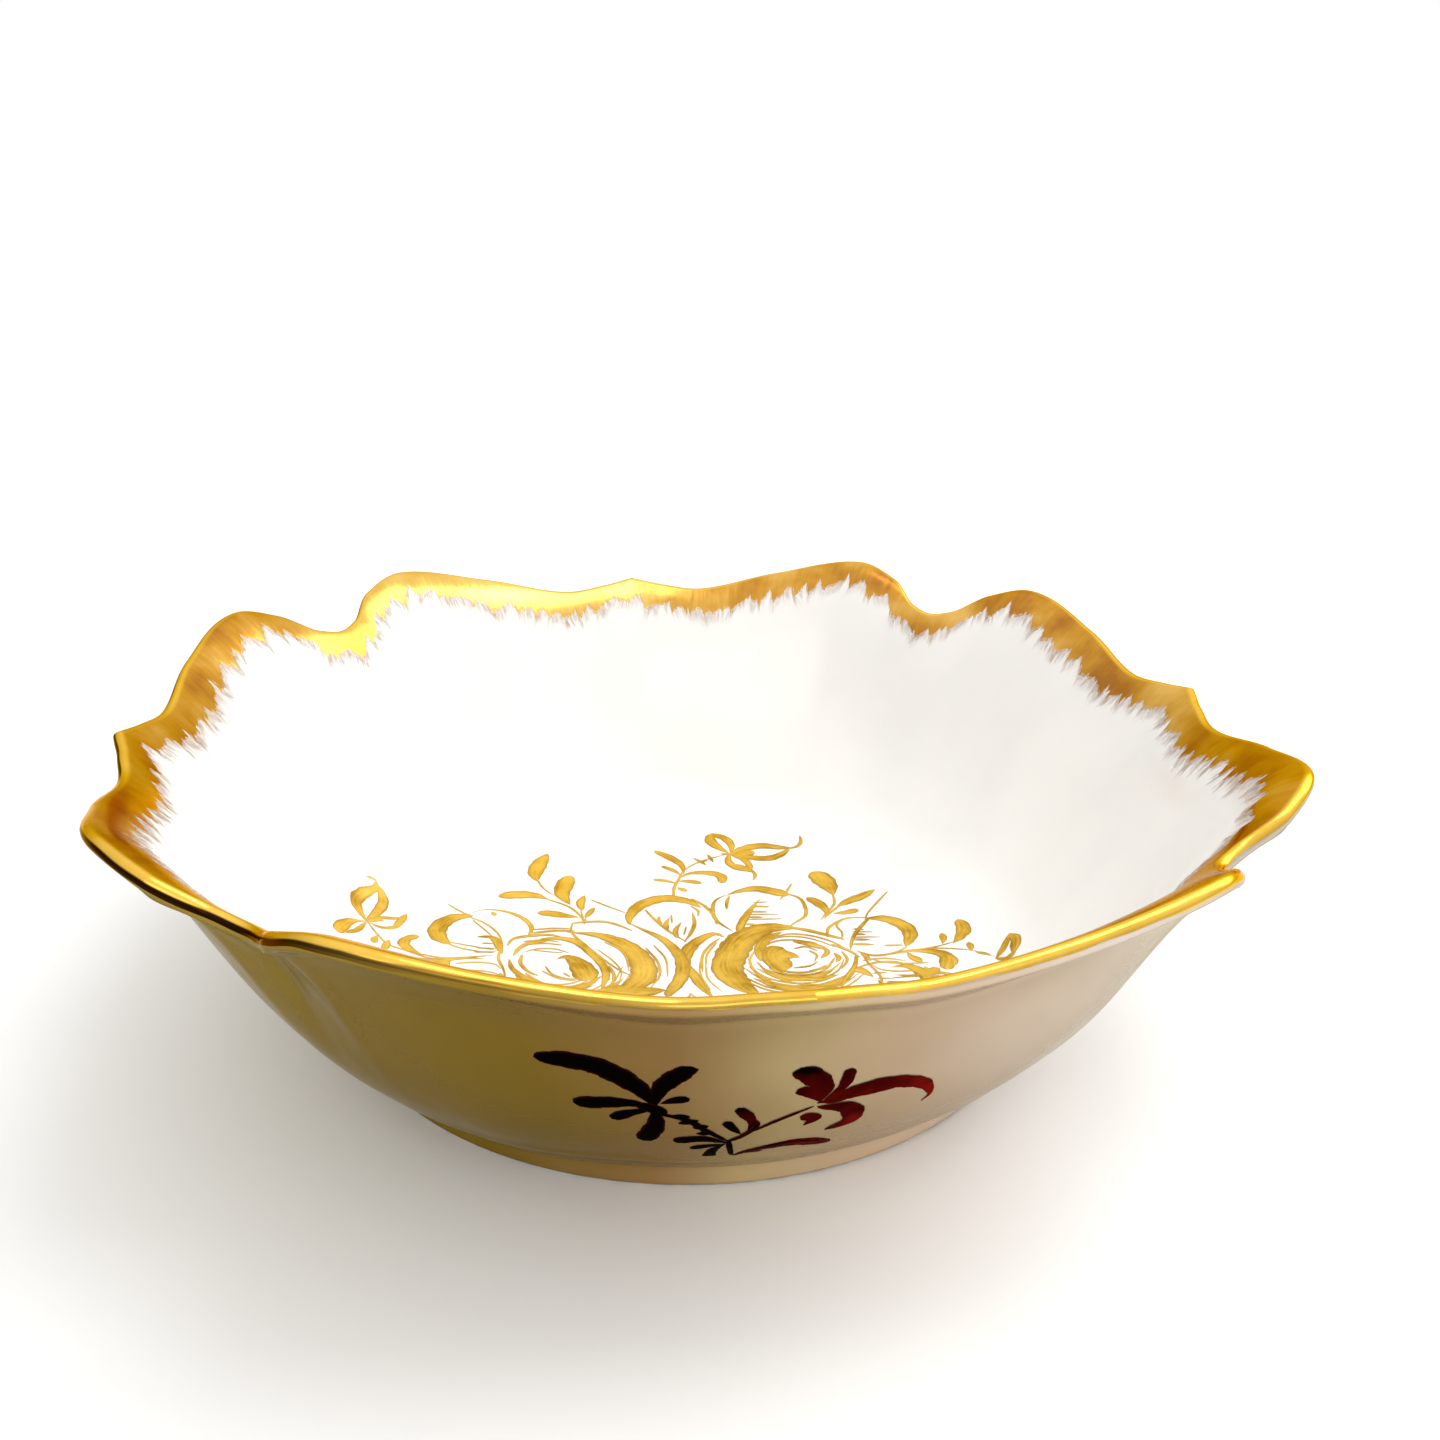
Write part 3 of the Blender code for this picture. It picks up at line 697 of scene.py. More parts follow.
@dataclass(frozen=True)
class GiltPaintedDarkReflection:
    """The outside sprig's gilding, painted as a dark reflection: near black at one end and dark red
    at the other.
    """

    name: str = "gilt_painted_dark_reflection"
    black: Colour = (0.0012, 0.0004, 0.0004)
    maroon: Colour = (0.060, 0.0010, 0.0008)
    ember: Colour = (0.16, 0.004, 0.002)
    edge: Colour = (0.045, 0.004, 0.002)
    drift: Range = (-0.24, 0.16)
    # Attaches a piece to the root, hides the CAD nodes that it replaces and logs its slot.
    pool_scale: float = 130.0
    streaks: Place = (0.25, 1.4, 1.0)
    edge_band: Range = (0.7, 1.0)
    gloss: Range = (0.16, 0.30)
    # slot: The material slot, shown in the log.
    hair_depth: float = 0.00004

    def build(self) -> bpy.types.Material:
        """Makes the material: the painted reflection's tone runs along the sprig, with streaks of
        the brush.
        """
        sheet = NodeSheet(self.name)
        tone = sheet.coords("tone")
        hairs = sheet.noise(sheet.coords("brush", self.streaks), 2.0, 4.0)
        pools = sheet.noise(sheet.coords(), self.pool_scale, 2.0)
        drift = sheet.span(pools, NOISE_BAND, self.drift)
        along = sheet.reckon("ADD", sheet.axis(tone, "X"), drift)
        # Painted reflection: near black to dark red along the sprig, as dark surroundings mirrored
        # in gilt.
        colour = sheet.ramp(along, [(0.42, self.black), (0.72, self.maroon), (0.98, self.ember)])
        rim = sheet.span(sheet.axis(tone, "Y"), self.edge_band, (0.0, 0.5))
        sheet.feed("Base Color", sheet.mix(rim, colour, self.edge))
        sheet.feed("Roughness", sheet.span(hairs, NOISE_BAND, self.gloss))
        sheet.bump(hairs, self.hair_depth, 0.4)
        sheet.set(IOR=1.02, Specular_IOR_Level=0.2)
        return sheet.material


# ================================================================================ the pieces
@dataclass
class PorcelainBody:
    """The body: lobed wall, rounded lip, flat floor and recessed underside.

    Each moulding is (height in mm, softness), its softness a share of the wall or degrees.
    """

    form: BowlForm
    per_eighth: int = 90
    wall_rows: int = 40
    inner_rows: int = 34
    lip_rows: int = 8
    glaze_border: int = 3
    line_places: tuple[float, float, float] = (0.045, 0.125, 0.905)
    line_spacing: float = 0.006
    line_reach: int = 5
    least_gap: float = 0.0025
    step: Range = (0.55, 0.010)
    step_start: float = 0.03
    bead: Range = (0.30, 0.016)
    cove: Range = (-0.25, 0.030)
    crease: Range = (-0.9, 2.2)
    rib: Range = (0.5, 1.3)
    rib_azimuth: float = 38.6
    crease_place: Range = (0.86, 0.34)
    underside_radii: tuple[float, ...] = (20.0, 50.0, 71.0, 75.0)
    floor_radii: tuple[float, ...] = (73.5, 71.5, 69.0, 66.0, 62.0, 50.0, 34.0, 16.0)

    def row_places(self) -> np.ndarray:
        """Shares of the wall's height for its rows, closer together at each moulded line."""
        even = 1 - (1 - np.linspace(0.0, 1.0, self.wall_rows)) ** 1.12
        near = range(-self.line_reach, self.line_reach + 1)
        close = [t + self.line_spacing * k for t in self.line_places for k in near]
        kept = [0.0]
        for place in sorted([*even, *close]):
            if place - kept[-1] > self.least_gap:
                kept.append(place)
        kept[-1] = 1.0
        return np.array(kept)

    def moulding(self, azimuth: np.ndarray, t: float) -> np.ndarray:
        """Relief of the outer wall in mm.

        Args:
            azimuth: Azimuths in degrees.
            t: Share of the wall's height.

        Returns:
            The step and bead above the foot, the cove below the lip, and at each notch a
            crease with a rib on both sides.
        """
        low, high, cove_place = self.line_places
        step = self.step[0] / (1 + math.exp((t - high) / self.step[1]))
        lines = step * min(1.0, t / self.step_start)
        lines += self.bead[0] * hump(t, low, self.bead[1])
        lines += self.cove[0] * hump(t, cove_place, self.cove[1])
        angle = from_cusp(azimuth)
        notch = self.crease[0] * hump(angle, 45.0, self.crease[1])
        notch = notch + self.rib[0] * hump(angle, self.rib_azimuth, self.rib[1])
        return lines + notch * hump(t, *self.crease_place)

    def build(self, inside: bpy.types.Material, outside: bpy.types.Material) -> bpy.types.Object:
        """Lofts the body.

        Args:
            inside: Glaze of the inside.
            outside: Glaze of the outside and underside, coloured in painted shade.

        Returns:
            The body as one closed mesh.
        """
        form = self.form
        azimuth = column_azimuths(self.per_eighth)
        handles, lip, flare = form.section(azimuth)
        flat = np.ones_like(azimuth)
        rows = [np.stack([flat * r, flat * form.base_height], -1) for r in self.underside_radii]
        for t in self.row_places():
            rows.append(form.along_wall(handles, flat * t, self.moulding(azimuth, t) * (t > 0)))
        outer_rows = len(rows)
        for turn in np.linspace(0.0, 180.0, self.lip_rows + 2)[1:-1]:
            rows.append(form.round_lip(lip, flare, turn))
        for t in np.linspace(1.0, 0.0, self.inner_rows):
            rows.append(form.inner(azimuth, flat * t))
        for radius in self.floor_radii:
            _, height = form.skirt(handles, flat * radius)
            rows.append(np.stack([flat * radius, form.blended(height)], -1))
        grid = turned(np.stack(rows, 1), azimuth[:, None])
        columns, count = grid.shape[:2]
        faces = grid_faces(columns, count, True, False)
        border = outer_rows + self.glaze_border
        slots = [0 if k % (count - 1) > border else 1 for k in range(len(faces))]
        under, floor = columns * count, columns * count + 1
        middles = [[0, 0, form.base_height], [0, 0, form.floor_height]]
        for i in range(columns):
            j = (i + 1) % columns
            faces.append((under, j * count, i * count))
            faces.append((floor, i * count + count - 1, j * count + count - 1))
            slots += [1, 0]
        points = np.vstack([grid.reshape(-1, 3), middles])
        return make_mesh("porcelain_body", points, faces, [inside, outside], slots)


@dataclass
class Foot:
    """The foot ring: slightly waisted outside, rounded at its wiped bottom edge."""

    outer: float = 78.8
    inner: float = 71.5
    height: float = 5.35
    edge: float = 1.2
    columns: int = 360
    wiped: float = 0.55

    def section(self) -> list[Knot]:
        """The ring's section, from the top of its inside down, round and up the outside."""
        corners = [(self.outer + 0.1, self.height), (self.outer - 0.12, self.height - 0.7)]
        corners += [(self.outer - 0.22, 0.62 * self.height), (self.outer - 0.1, 0.4 * self.height)]
        arc = [math.radians(turn) for turn in range(0, 91, 15)]
        for radius, way, angles in ((self.outer, -1, arc), (self.inner, 1, arc[::-1])):
            for a in angles:
                across = way * self.edge * (1 - math.cos(a))
                corners.append((radius + across, self.edge * (1 - math.sin(a))))
        return [(self.inner, self.height), *corners[::-1]]

    def build(self, glaze: bpy.types.Material, bare: bpy.types.Material) -> bpy.types.Object:
        """Turns the ring's section; the bottom edge takes the bare finish."""
        section = self.section()
        rows = len(section)
        azimuth = np.arange(self.columns) * 360.0 / self.columns
        profile = np.broadcast_to(np.array(section), (self.columns, rows, 2))
        points = turned(profile, azimuth[:, None]).reshape(-1, 3)
        faces = grid_faces(self.columns, rows, True, True)
        tops = [max(section[k][1], section[(k + 1) % rows][1]) for k in range(rows)]
        low = self.wiped * self.edge
        slots = [1 if tops[k % rows] < low else 0 for k in range(len(faces))]
        return make_mesh("foot", points, faces, [glaze, bare], slots)


@dataclass
class RimGilding:
    """The brushed gold band over the lip, with its ragged inner edge."""

    form: BowlForm
    seed: int = 7
    columns: int = 2400
    depth: float = 6.9
    lobe_sway: float = 0.8
    waves: tuple[tuple[int, float], ...] = ((13, 0.4), (29, 0.35))
    teeth: tuple[tuple[float, ...], ...] = ((2.0, 4.6, 1.4, 4.2), (0.4, 1.1, 0.2, 0.9))
    nicks: int = 900
    nick_width: Range = (0.10, 0.28)
    nick_depth: Range = (-1.3, 0.9)
    limits: Range = (3.2, 13.0)
    outer_turn: float = 78.0
    outer_sway: float = 16.0
    sway_azimuth: float = 205.0
    outer_waves: tuple[tuple[int, float], ...] = ((31, 4.0), (83, 3.0))
    lift: float = 0.07
    hem: float = 0.02
    sunk: float = -0.25
    rows_inside: int = 9
    rows_over: int = 8
    lip_length: float = -2.1
    sharp_angle: float = 60.0

    def reach(self, azimuth: np.ndarray) -> np.ndarray:
        """How far down the inside the gold comes at each azimuth, in mm.

        Args:
            azimuth: Azimuths in degrees.

        Returns:
            The depth: a slow change round each lobe, brush loads, saw teeth and nicks.
        """
        rng = random.Random(self.seed)
        deep = self.depth - self.lobe_sway * np.cos(np.radians(8 * azimuth))
        for waves, size in self.waves:
            deep = deep + size * np.sin(np.radians(waves * azimuth + 360 * rng.random()))
        for narrow, wide, shallow, tall in self.teeth:
            start = 0.0
            while start < 360.0:
                width = rng.uniform(narrow, wide)
                size = rng.uniform(shallow, tall)
                lean = rng.uniform(0.68, 0.93) if rng.random() < 0.8 else rng.uniform(0.3, 0.5)
                s = (azimuth - start) / width
                tooth = np.where(s < lean, s / lean, (1 - s) / (1 - lean))
                deep = deep + np.where((s >= 0) & (s < 1), size * (tooth - 0.5), 0.0)
                start += width
        for _ in range(self.nicks):
            at, width = rng.uniform(0, 360), rng.uniform(*self.nick_width)
            size = rng.uniform(*self.nick_depth)
            gap = np.abs((azimuth - at + 180.0) % 360.0 - 180.0) / width
            deep = deep + size * np.clip(1 - gap, 0.0, 1.0)
        return np.clip(deep, *self.limits)

    def build(self, gold: bpy.types.Material) -> bpy.types.Object:
        """Lofts the band as a thin closed skin that dips into the glaze at both hems."""
        form = self.form
        azimuth = np.arange(self.columns) * 360.0 / self.columns
        _, lip, flare = form.section(azimuth)
        deep = self.reach(azimuth)
        speed = 3 * form.end_handle
        outer = self.outer_turn - self.outer_sway * np.cos(np.radians(azimuth - self.sway_azimuth))
        for waves, size in self.outer_waves:
            outer = outer + size * np.sin(np.radians(waves * azimuth))
        down = [
            (s, self.hem if s == 1.0 else self.lift)
            for s in np.linspace(1.0, 0.0, self.rows_inside)
        ]
        over = [
            (s, self.lift if s < 1.0 else self.hem)
            for s in np.linspace(0.0, 1.0, self.rows_over + 1)[1:]
        ]
        back = [(s, self.sunk) for s in (1.0, 0.5, 0.0)]
        loop, along = [], []
        for s, lift in down:
            loop.append(form.inner(azimuth, 1.0 - s * deep / speed, lift))
            along.append(deep * s)
        for s, lift in over + back:
            loop.append(form.round_lip(lip, flare, 180.0 + (outer - 180.0) * s, lift))
            along.append(np.full_like(deep, self.lip_length * s))
        for s in (0.5, 1.0):
            loop.append(form.inner(azimuth, 1.0 - s * deep / speed, self.sunk))
            along.append(deep * s)
        rows = len(loop)
        points = turned(np.stack(loop, 1), azimuth[:, None]).reshape(-1, 3)
        around = np.repeat(np.radians(azimuth) * ROUND_SCALE, rows)
        brush = np.stack([around, np.stack(along, 1).reshape(-1)], -1)
        faces = [face[::-1] for face in grid_faces(self.columns, rows, True, True)]
        made = make_mesh("rim_gold_band", points, faces, [gold], None, brush)
        made.data.set_sharp_from_angle(angle=math.radians(self.sharp_angle))
        return made


@dataclass
class RimFringe:
    """Dry-brush bristle marks that run out of the band, set out by Geometry Nodes."""

    form: BowlForm
    band: RimGilding
    name: str = "rim_gold_fringe"
    marks: int = 6400
    seed: int = 21
    shortest: float = 1.4
    longest: float = 4.8
    width: float = 0.10
    breadth: Range = (0.45, 1.5)
    tuck: Range = (0.2, 1.4)
    lift: float = 0.05
    clumps: tuple[tuple[int, float, float], ...] = ((23, 0.0, 12.0), (61, 40.0, 9.0))
    stray: float = 7.0
    bristle_rows: tuple[Knot, ...] = ((-0.04, 0.5), (0.25, 1.0), (1.0, 0.06))

    def carrier(self) -> bpy.types.Object:
        """Points along the band's hem with the glaze's normal and the bristles' direction."""
        rng = random.Random(self.seed)
        azimuth = np.array([rng.uniform(0, 360) for _ in range(self.marks)])
        azimuth.sort()
        columns = self.band.columns
        hem = np.append(self.band.reach(np.linspace(0, 360 - 360 / columns, columns)), 0)
        deep = np.interp(azimuth, np.linspace(0, 360, columns + 1), hem)
        deep = deep - np.array([rng.uniform(*self.tuck) for _ in range(self.marks)])
        lean = np.array([rng.gauss(0, self.stray) for _ in range(self.marks)])
        for waves, shift, size in self.clumps:
            lean = lean + size * np.sin(np.radians(azimuth * waves + shift))

        def at(further: float, round_by: float) -> np.ndarray:
            """Points on the glaze near the hem, further down and round by the given steps."""
            t = 1 - (deep + further) / (3 * self.form.end_handle)
            return turned(self.form.inner(azimuth + round_by, t, self.lift), azimuth + round_by)

        here = at(0.0, 0.0)
        down = unit(at(1.0, 0.0) - here)
        normal = unit(np.cross(at(0.0, 0.2) - here, down))
        normal *= np.sign(normal[:, 2:3])
        turn = np.radians(lean)[:, None]
        forward = down * np.cos(turn) + np.cross(normal, down) * np.sin(turn)
        mesh = bpy.data.meshes.new(self.name)
        mesh.from_pydata([tuple(p) for p in here * MM], [], [])
        for name, values in (("glaze_normal", normal), ("heading", forward)):
            layer = mesh.attributes.new(name, "FLOAT_VECTOR", "POINT")
            layer.data.foreach_set("vector", values.astype(np.float32).ravel())
        return link_up(self.name, mesh)

    def bristle(self) -> bpy.types.Object:
        """One bristle mark, a metre long along +X, thin and pointed at its far end."""
        points: list[Place] = []
        for x, half in self.bristle_rows:
            points += [(x, half / 2, 0.0), (x, 0.0, 0.10), (x, -half / 2, 0.0), (x, 0.0, -0.3)]
        sides = grid_faces(len(self.bristle_rows), 4, False, True)
        last = len(points)
        mesh = bpy.data.meshes.new("bristle")
        ends = [(0, 1, 2, 3), (last - 1, last - 2, last - 3, last - 4)]
        mesh.from_pydata(points, [], ends + sides)
        return link_up("bristle", mesh)

    def tree(self, bristle: bpy.types.Object, gold: bpy.types.Material) -> bpy.types.NodeTree:
        """Builds the tree that lays a bristle mark at each point.

        Args:
            bristle: The mark to copy.
            gold: Its finish.

        Returns:
            The Geometry Nodes tree.
        """
        tree = bpy.data.node_groups.new("fringe_tree", "GeometryNodeTree")
        sockets = {"Geometry": "Geometry", "Shortest": "Float", "Longest": "Float"}
        sockets |= {"Width": "Float", "Seed": "Int"}
        for name, kind in sockets.items():
            tree.interface.new_socket(name, in_out="INPUT", socket_type="NodeSocket" + kind)
        tree.interface.new_socket("Geometry", in_out="OUTPUT", socket_type="NodeSocketGeometry")

        def add(kind: str, feeds: dict | None = None, **settings: str) -> bpy.types.NodeOutputs:
            """Adds a node to the tree and gives its outputs."""
            return add_node(tree, kind, feeds, **settings).outputs

        start = add("NodeGroupInput")
        named = "GeometryNodeInputNamedAttribute"
        normal = add(named, {"Name": "glaze_normal"}, data_type="FLOAT_VECTOR")["Attribute"]
        forward = add(named, {"Name": "heading"}, data_type="FLOAT_VECTOR")["Attribute"]
        align = "FunctionNodeAlignRotationToVector"
        stand = add(align, {"Vector": normal}, axis="Z")["Rotation"]
        feeds = {"Rotation": stand, "Vector": forward}
        turn = add(align, feeds, axis="X", pivot_axis="Z")["Rotation"]
        feeds = {2: start["Shortest"], 3: start["Longest"], "Seed": start["Seed"]}
        length = add("FunctionNodeRandomValue", feeds, data_type="FLOAT")[1]
        feeds = {2: self.breadth[0], 3: self.breadth[1], "Seed": start["Seed"]}
        breadth = add("FunctionNodeRandomValue", feeds, data_type="FLOAT")[1]
        wide = add("ShaderNodeMath", {0: breadth, 1: start["Width"]}, operation="MULTIPLY")[0]
        size = add("ShaderNodeCombineXYZ", {"X": length, "Y": wide, "Z": start["Width"]})
        source = add("GeometryNodeObjectInfo", {"Object": bristle})
        feeds = {"Points": start["Geometry"], "Instance": source["Geometry"]}
        feeds |= {"Rotation": turn, "Scale": size["Vector"]}
        laid = add("GeometryNodeInstanceOnPoints", feeds)["Instances"]
        real = add("GeometryNodeRealizeInstances", {"Geometry": laid})["Geometry"]
        painted = add("GeometryNodeSetMaterial", {"Geometry": real, "Material": gold})
        add("NodeGroupOutput", {"Geometry": painted["Geometry"]})
        return tree

    def build(self, gold: bpy.types.Material) -> bpy.types.Object:
        """Runs the tree and keeps its result as a plain mesh with its own UV map."""
        carrier, bristle = self.carrier(), self.bristle()
        modifier = carrier.modifiers.new("fringe", "NODES")
        modifier.node_group = self.tree(bristle, gold)
        values = {"Shortest": self.shortest * MM, "Longest": self.longest * MM}
        values |= {"Width": self.width * MM, "Seed": self.seed}
        for item in modifier.node_group.interface.items_tree:
            if item.in_out == "INPUT" and item.name in values:
                modifier[item.identifier] = values[item.name]
        graph = bpy.context.evaluated_depsgraph_get()
        mesh = bpy.data.meshes.new_from_object(carrier.evaluated_get(graph))
        carrier.modifiers.remove(modifier)
        bpy.data.objects.remove(bristle)
        bpy.data.objects.remove(carrier)
        mesh.name = self.name
        points = np.empty(len(mesh.vertices) * 3, np.float32)
        mesh.vertices.foreach_get("co", points)
        x, y, _ = points.reshape(-1, 3).T
        add_uv(mesh, "brush", np.stack([np.arctan2(y, x) * ROUND_SCALE, np.hypot(x, y) / MM], -1))
        return link_up(self.name, mesh)


# =========================================================================== painted strokes
class Brush(Enum):
    """How a stroke swells: the powers of its rise from the start and its fall to the end."""

    LEAF = (0.95, 0.50)
    PETAL = (0.75, 0.75)
    COMMA = (0.42, 1.0)
    TAIL = (1.1, 0.38)
    BAND = (0.35, 0.35)
    HAIR = (0.30, 0.45)
    BLUNT = (0.85, 0.30)
    SWELL = (1.0, 0.50)

    def fullness(self, s: np.ndarray) -> np.ndarray:
        """The stroke's width at shares s of its length, 1 where it is widest."""
        rise, fall = self.value
        top = rise / (rise + fall)
        most = top**rise * (1 - top) ** fall
        return np.clip(s, 0, 1) ** rise * np.clip(1 - s, 0, 1) ** fall / most


@dataclass(frozen=True)
class Stroke:
    """One touch of the brush: its greatest width, its kind and its course in mm."""

    width: float
    brush: Brush
    knots: tuple[Knot, ...]

    def course(self, spacing: float) -> np.ndarray:
        """Points at about even steps of a smooth curve through the knots."""
        knots = np.array(self.knots, float)
        ends = np.vstack([2 * knots[0] - knots[1], knots, 2 * knots[-1] - knots[-2]])
        pieces = []
        for k in range(len(knots) - 1):
            a, b, c, d = ends[k : k + 4]
            steps = max(3, int(math.ceil(np.linalg.norm(c - b) / spacing)))
            u = np.linspace(0, 1, steps, endpoint=False)[:, None]
            bend = (2 * a - 5 * b + 4 * c - d) * u**2 + (3 * b - a - 3 * c + d) * u**3
            pieces.append(0.5 * (2 * b + (c - a) * u + bend))
        return np.vstack([*pieces, knots[-1:]])


def dab(width: float, brush: Brush, *knots: Knot) -> Stroke:
    """A stroke, written short for the lists below."""
    return Stroke(width, brush, knots)


@dataclass
class StrokePainter:
    """Lays strokes on the bowl as thin domed ribbons, all of one group in one mesh."""

    RIBS = (1.0, 0.5, 0.0, -0.5, -1.0, 0.0)
    SHOULDER = 0.8
    LAYERS = 28
    LEAST_HALF = 0.04
    FULL_HALF = 1.2
    THINNEST = 0.25
    NEXT_UV = (11.3, 3.7)
    SHARP = math.radians(50.0)

    form: BowlForm
    outside: bool = False
    turn: float = 0.0
    dome: float = 0.07
    base_lift: float = 0.025
    lift_step: float = 0.004
    sunk: float = -0.12
    spacing: float = 0.7
    mm_per_degree: float = 1.66
    mm_per_share: float = 72.0
    points: list[np.ndarray] = field(default_factory=list)
    uvs: list[np.ndarray] = field(default_factory=list)
    tones: list[np.ndarray] = field(default_factory=list)
    faces: list[Face] = field(default_factory=list)
    count: int = 0
    laid: int = 0

    def place(self, plan: np.ndarray, lift: np.ndarray) -> np.ndarray:
        """Puts flat positions onto the glaze, inside or outside."""
        if not self.outside:
            return self.form.on_inside(plan, lift)
        around = plan[..., 0] / self.mm_per_degree + self.turn
        return self.form.on_outside(np.stack([around, plan[..., 1] / self.mm_per_share], -1), lift)

    def lay(self, stroke: Stroke) -> None:
        """Adds one stroke's ribbon.

        Args:
            stroke: The stroke; outside the bowl its knots are mm along and up the wall.
        """
        path = stroke.course(self.spacing)
        steps = np.linalg.norm(np.diff(path, axis=0), axis=1)
        run = np.concatenate([[0.0], np.cumsum(steps)])
        ahead = np.gradient(path, axis=0)
        ahead /= np.linalg.norm(ahead, axis=1, keepdims=True) + 1e-9
        side = np.stack([-ahead[:, 1], ahead[:, 0]], -1)
        wobble = 0.05 * np.sin(run * 1.7 + self.laid) + 0.03 * np.sin(run * 4.1 + 2 * self.laid)
        half = stroke.width / 2 * stroke.brush.fullness(run / run[-1]) * (1.0 + wobble)
        half = np.maximum(half, self.LEAST_HALF)
        low = self.base_lift + self.lift_step * (self.laid % self.LAYERS)
        rise = self.dome * np.clip(half / self.FULL_HALF, self.THINNEST, 1.0)
        edge, shoulder = np.full_like(run, low), low + rise * self.SHOULDER
        lifts = (edge, shoulder, low + rise, shoulder, edge, np.full_like(run, self.sunk))
        rows, length = len(self.RIBS), len(path)
        ring = [
            self.place(path + side * (half * rib)[:, None], lift)
            for rib, lift in zip(self.RIBS, lifts)
        ]
        self.points.append(np.stack(ring, 1).reshape(-1, 3))
        along = np.repeat(run, rows) + self.NEXT_UV[0] * self.laid
        across = np.outer(half, self.RIBS).ravel() + self.NEXT_UV[1] * self.laid
        self.uvs.append(np.stack([along, across], -1))
        rim = np.tile(np.abs(self.RIBS), length)
        self.tones.append(np.stack([np.repeat(path[:, 0], rows), rim], -1))
        last = (length - 1) * rows
        faces = grid_faces(length, rows, False, True)
        faces += [tuple(range(rows)), tuple(range(last + rows - 1, last - 1, -1))]
        self.faces += [tuple(self.count + corner for corner in face) for face in faces]
        self.count += length * rows
        self.laid += 1

    def build(self, name: str, material: bpy.types.Material) -> bpy.types.Object:
        """Makes one mesh of every stroke laid so far."""
        brush = np.vstack(self.uvs)
        made = make_mesh(name, np.vstack(self.points), self.faces, [material], None, brush)
        made.data.set_sharp_from_angle(angle=self.SHARP)
        tones = np.vstack(self.tones)
        low, high = tones[:, 0].min(), tones[:, 0].max()
        tones[:, 0] = (tones[:, 0] - low) / (high - low)
        add_uv(made.data, "tone", tones)
        return made


LEAF, PETAL, COMMA, TAIL, BAND, HAIR, BLUNT, SWELL = Brush

